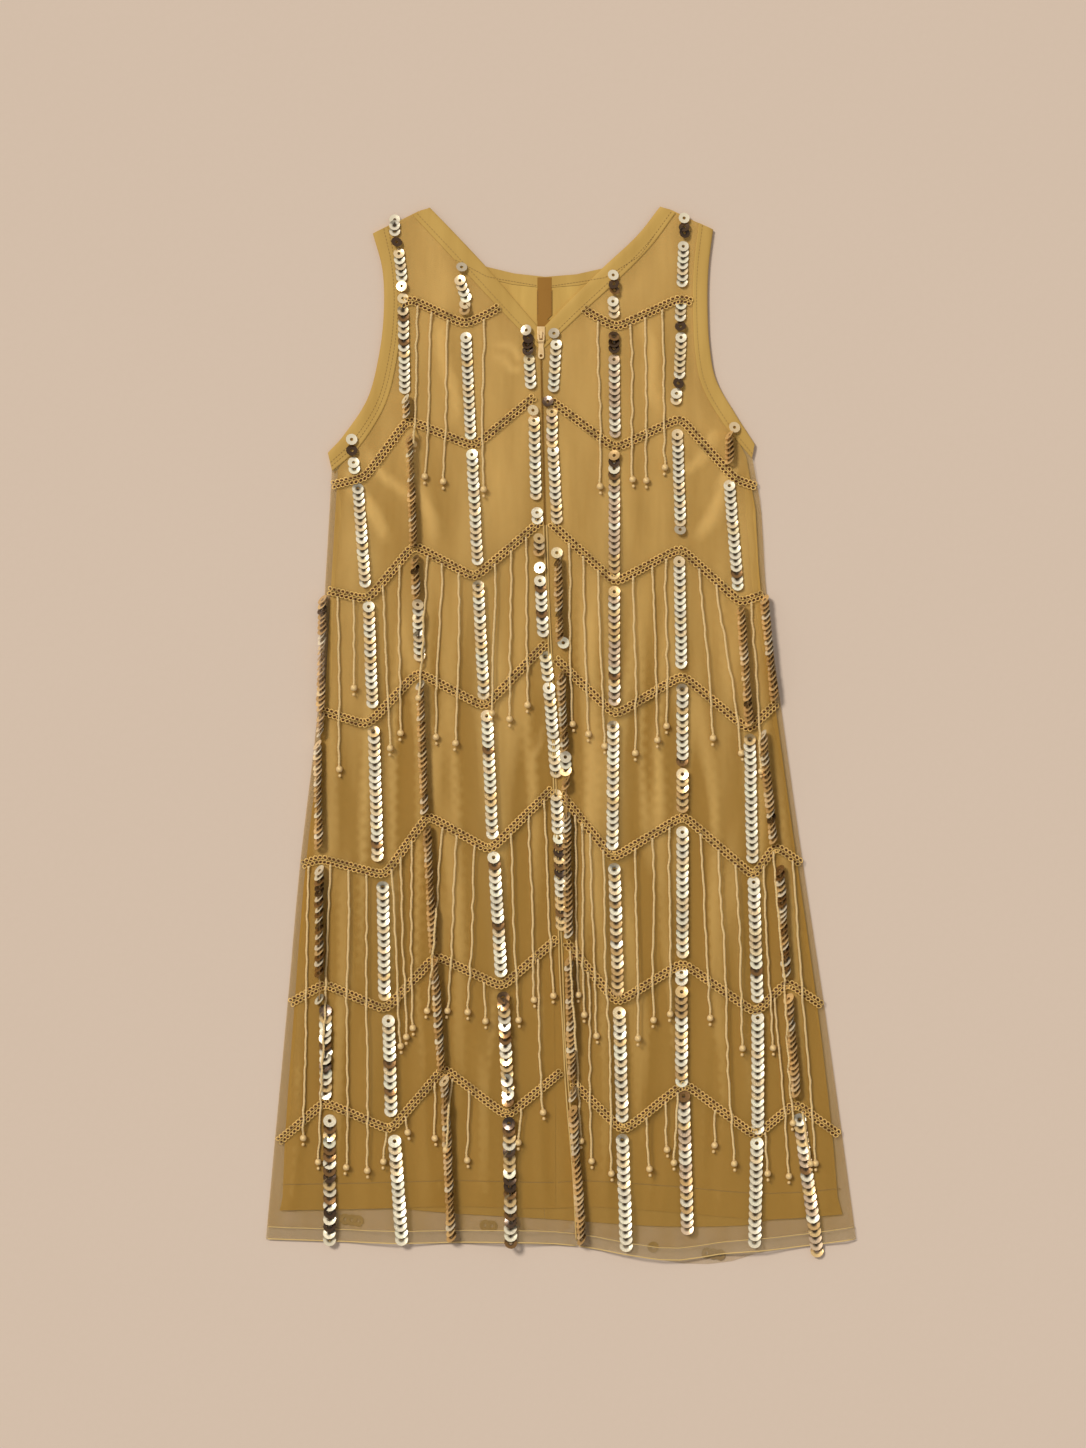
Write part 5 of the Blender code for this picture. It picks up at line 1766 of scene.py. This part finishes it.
@dataclass
class Dress:
    """The whole dress, from the back overlay up to the fringe."""

    finishes: Finishes

    def panels(self) -> list[bpy.types.Object]:
        """Make every flat-cut panel."""
        finishes = self.finishes
        net, hem = finishes.net, finishes.hem_net
        back = ClothPanel("overlay_back", "overlay", 0.9, grid=8.0, hem_band=13.0, relaxing=0)
        facing = ClothPanel("back_neck_facing", "binding", 1.1, ("net_back",), grid=5.0, relaxing=0,
                            strip_width=11.0)
        tape = ClothPanel("back_seam_tape", "tape", 0.75, ("lining_back_left_cloth",), grid=4.0, relaxing=0)
        made = [
            back.build("net_back", net, hem),
            facing.build("neck_facing_cloth", finishes.binding),
            tape.build("seam_tape_cloth", finishes.tape),
        ]
        for side in SIDES:
            lining = ClothPanel("lining_back_" + side, "lining", 0.9, ("net_back",), relaxing=0)
            made.append(lining.build(lining.node + "_cloth", finishes.inside))
        for side in SIDES:
            below = ("lining_back_%s_cloth" % side,)
            lining = ClothPanel("lining_front_" + side, "lining", 0.9, below, creased=0.9, relaxing=0)
            made.append(lining.build(lining.node + "_cloth", finishes.lining))
        for side in SIDES:
            below = ("lining_front_%s_cloth" % side,)
            front = ClothPanel("overlay_front_" + side, "overlay", 0.9, below, creased=1.0, hem_band=13.0,
                               grid=5.0, relaxing=22)
            made.append(front.build("net_front_" + side, net, hem))
        return made

    def bindings(self) -> tuple[list[Binding], list[bpy.types.Object]]:
        """Make the bound edges.

        Returns:
            The front edges' settings, and every binding as a piece.
        """
        fronts, made = [], []
        for side in SIDES:
            neck = Binding("neck_binding_" + side, NECK[side], 2.6, 4.9)
            arm = Binding("armhole_binding_front_" + side, ARMHOLE[side], 2.6, 4.9, second_row=side == "left")
            back = Binding("armhole_binding_back_" + side, ARMHOLE[side], 0.02, 2.3)
            for binding in (neck, arm, back):
                made.append(binding.build(binding.node + "_cloth", self.finishes.binding))
            fronts += [neck, arm]
        return fronts, made

    def hem_row(self, node: str, above: float) -> list[Vector]:
        """Return a line above the lower edge of a panel.

        Args:
            node: the panel's CAD node.
            above: how far above its edge, in millimetres.

        Returns:
            The line's points from left to right.
        """
        loop = ClothPanel(node, "", 1.0).outline()
        lowest = min(point.y for point in loop)
        low = [point.x for point in loop if point.y < lowest + 0.035]
        row = []
        for step in range(61):
            x = min(low) + 2 * MM + (max(low) - min(low) - 4 * MM) * step / 60
            crossings = [a.y + (b.y - a.y) * (x - a.x) / (b.x - a.x)
                         for a, b in zip(loop, loop[1:] + loop[:1]) if (a.x - x) * (b.x - x) < 0]
            row.append(Vector((x, min(crossings) + above * MM, 0.002)))
        return row

    def rolled_edges(self, cloth: Relief) -> None:
        """Roll the overlay's free edges: down the centre front, and along both hems.

        Args:
            cloth: the height of the cloth.
        """
        middle = Profile([(place.drop, place.x) for place in CENTRE_FRONT])
        first, pitch, count = 318.0, 4.93, 146
        cluster = Cluster()
        for side in (-1, 1):
            line = []
            for step in range(count):
                drop = first + step * pitch
                x = (middle(drop) + side * (1.2 + 0.35 * math.sin(drop / 23))) * MM
                line.append(Vector((x, to_y(drop), 0.0)))
            cloth.drape(line, 0.0048, 0.25)
            cluster.add_tube(line, [0.85 * MM] * len(line), 6)
        for side in SIDES:
            for above, radius in ((0.6, 0.65), (12.6, 0.4)):
                row = resample(self.hem_row("overlay_front_" + side, above), 5 * MM)
                cloth.drape(row, 0.002, 0.1)
                cluster.add_tube(row, [radius * MM] * len(row), 5, (1.15, 1.2, 1.35, 1.0))
        dress_piece(cluster.build("rolled_edges", self.finishes.edge), "overlay")

    def tape_end(self, name: str, top: float, low: float, height: float) -> None:
        """Lay an end of the tape: over the neck facing, or down behind the slider.

        Args:
            name: the piece's name.
            top: its upper end's drop.
            low: its lower end's drop.
            height: the height of its upper face, in millimetres.
        """
        corners = [Vector((x * MM, to_y(drop), height * MM))
                   for x, drop in ((-23.6, low), (-9.4, low), (-9.4, top), (-23.6, top))]
        bm = bmesh.new()
        face = bm.faces.new([bm.verts.new(corner) for corner in corners])
        bmesh.ops.subdivide_edges(bm, edges=list(face.edges), cuts=4, use_grid_fill=True)
        for vertex in bm.verts:
            vertex.co.z += 0.12 * MM * noise.noise(vertex.co * 260)
        mesh = bpy.data.meshes.new(name)
        bm.to_mesh(mesh)
        bm.free()
        made = new_object(name, mesh, self.finishes.tape)
        apply_modifier(made, "SOLIDIFY", thickness=0.3 * MM, offset=-1.0)
        shade_smooth(made, 60.0)
        dress_piece(made, "tape")

    def back_trim(self) -> None:
        """Lay the few sequins of the back that show through both nets at the hem."""
        stamp = Modelling.sequin(5.6, 1.7, 0.3, 0.3)
        cluster = Cluster()
        tip = Matrix.Rotation(math.radians(4), 4, "Y") @ Matrix.Scale(MM, 4)
        groups = ((-216.0, 1012.0, 3), (-76.0, 1018.0, 2), (146.0, 1046.0, 3), (92.0, 1040.0, 1))
        for x, drop, count in groups:
            for index in range(count):
                place = Vector(((x + index * 6.5) * MM, to_y(drop + index * 0.8), 1.55 * MM))
                cluster.add(stamp, Matrix.Translation(place) @ tip, (0.3, 0.19, 0.07, 0.2), shaded=False)
        dress_piece(cluster.build("back_trim", self.finishes.sequin, 40.0), "braid")

    def sewing(self, fronts: Sequence[Binding], cloth: Relief, linings: Relief) -> None:
        """Sew the topstitching, the hems and the seams.

        Args:
            fronts: the front edges' bindings.
            cloth: the height of the cloth.
            linings: the height of the lining alone.
        """
        stitch = Modelling.bead(0.26, 2.7, 5, 4)
        for index, thread in enumerate(stitch.places):
            stitch.places[index] = thread * MM
        edges = Stitching(stitch)
        for binding in fronts:
            edges.sew(binding.stitch_line(0.18), cloth)
            if binding.second_row:
                edges.sew(binding.stitch_line(0.4), cloth)
        neck = [Vector((place.x * MM, to_y(place.drop + 10.2), 0.0026)) for place in BACK_NECK[2:-1]]
        edges.sew(neck, cloth, 3.0)
        for x in (-23.2, -9.8):
            edges.sew([Vector((x * MM, to_y(drop), 0.0034)) for drop in (71.0, 83.0, 108.0)], cloth, 2.6)
        edges.build("edge_stitching", self.finishes.sewing, "binding")
        hems = Cluster()
        for side in SIDES:
            row = resample(self.hem_row("lining_front_" + side, 26.0), 4 * MM)
            linings.drape(row, 0.003, 0.1)
            hems.add_tube(row, [0.5 * MM] * len(row), 5)
        dress_piece(hems.build("lining_hem_seams", self.finishes.sewing), "lining")

    def build(self) -> None:
        """Make every piece of the dress in order."""
        panels = self.panels()
        fronts, bindings = self.bindings()
        cloth = Relief(panels + bindings)
        linings = Relief([piece for piece in panels if piece.name.startswith("lining_")])
        self.sewing(fronts, cloth, linings)
        self.rolled_edges(cloth)
        self.tape_end("tape_top", 70.6, 83.2, 2.85)
        self.tape_end("tape_foot", 113.0, 124.0, 3.55)
        self.back_trim()
        Zip().build(self.finishes)
        loop = Modelling.link(5.9, 4.6, 0.85)
        braids = [Braid(name).build(loop, cloth, self.finishes.braid) for name in BRAIDS]
        over_braids = Relief(braids)
        strings = SequinStrings().build(self.finishes, cloth, over_braids)
        below = Relief(panels + bindings + braids + strings)
        bead, drop = Modelling.bead(3.3, 6.8, 10, 6), Modelling.bead(1.7, 3.8, 6, 4)
        for name in FRINGE:
            Fringe(name).build(below, bead, drop, self.finishes)


@dataclass
class Studio:
    """The plain floor, the soft light and the camera."""

    camera_place: Triple = (-0.018, 0.0115, 3.42)
    lens: float = 85.0
    key_from: Triple = (-0.52, 0.5, 0.95)
    key_angle: float = 13.0
    key_power: float = 2.15
    fill: float = 0.42

    def floor(self) -> None:
        """Lay the floor."""
        deselect_all()
        bpy.ops.mesh.primitive_plane_add(size=8.0, location=(0.0, 0.0, 0.0))
        floor = bpy.context.object
        floor.name = "studio_floor"
        floor.data.materials.append(FloorFinish().build())

    def lights(self) -> None:
        """Hang the key light and set the fill."""
        data = bpy.data.lights.new("key_light", "SUN")
        data.angle, data.energy = math.radians(self.key_angle), self.key_power
        data.color = (1.0, 0.965, 0.91)
        light = bpy.data.objects.new("key_light", data)
        light.rotation_euler = (-Vector(self.key_from)).to_track_quat("-Z", "Y").to_euler()
        bpy.context.scene.collection.objects.link(light)
        world = bpy.data.worlds.new("studio_fill")
        world.use_nodes = True
        background = world.node_tree.nodes["Background"]
        background.inputs["Color"].default_value = (1.0, 0.975, 0.95, 1.0)
        background.inputs["Strength"].default_value = self.fill
        bpy.context.scene.world = world

    def camera(self) -> None:
        """Place the camera, looking straight down."""
        data = bpy.data.cameras.new("camera")
        data.lens = self.lens
        camera = bpy.data.objects.new("camera", data)
        camera.location = self.camera_place
        bpy.context.scene.collection.objects.link(camera)
        bpy.context.scene.camera = camera
        bpy.context.scene.view_settings.view_transform = "Standard"


def main() -> None:
    """Build the scene."""
    logging.basicConfig(level=logging.INFO, format="%(message)s")
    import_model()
    studio = Studio()
    studio.camera()
    Dress(Finishes()).build()
    studio.floor()
    studio.lights()


if __name__ == "__main__":
    main()
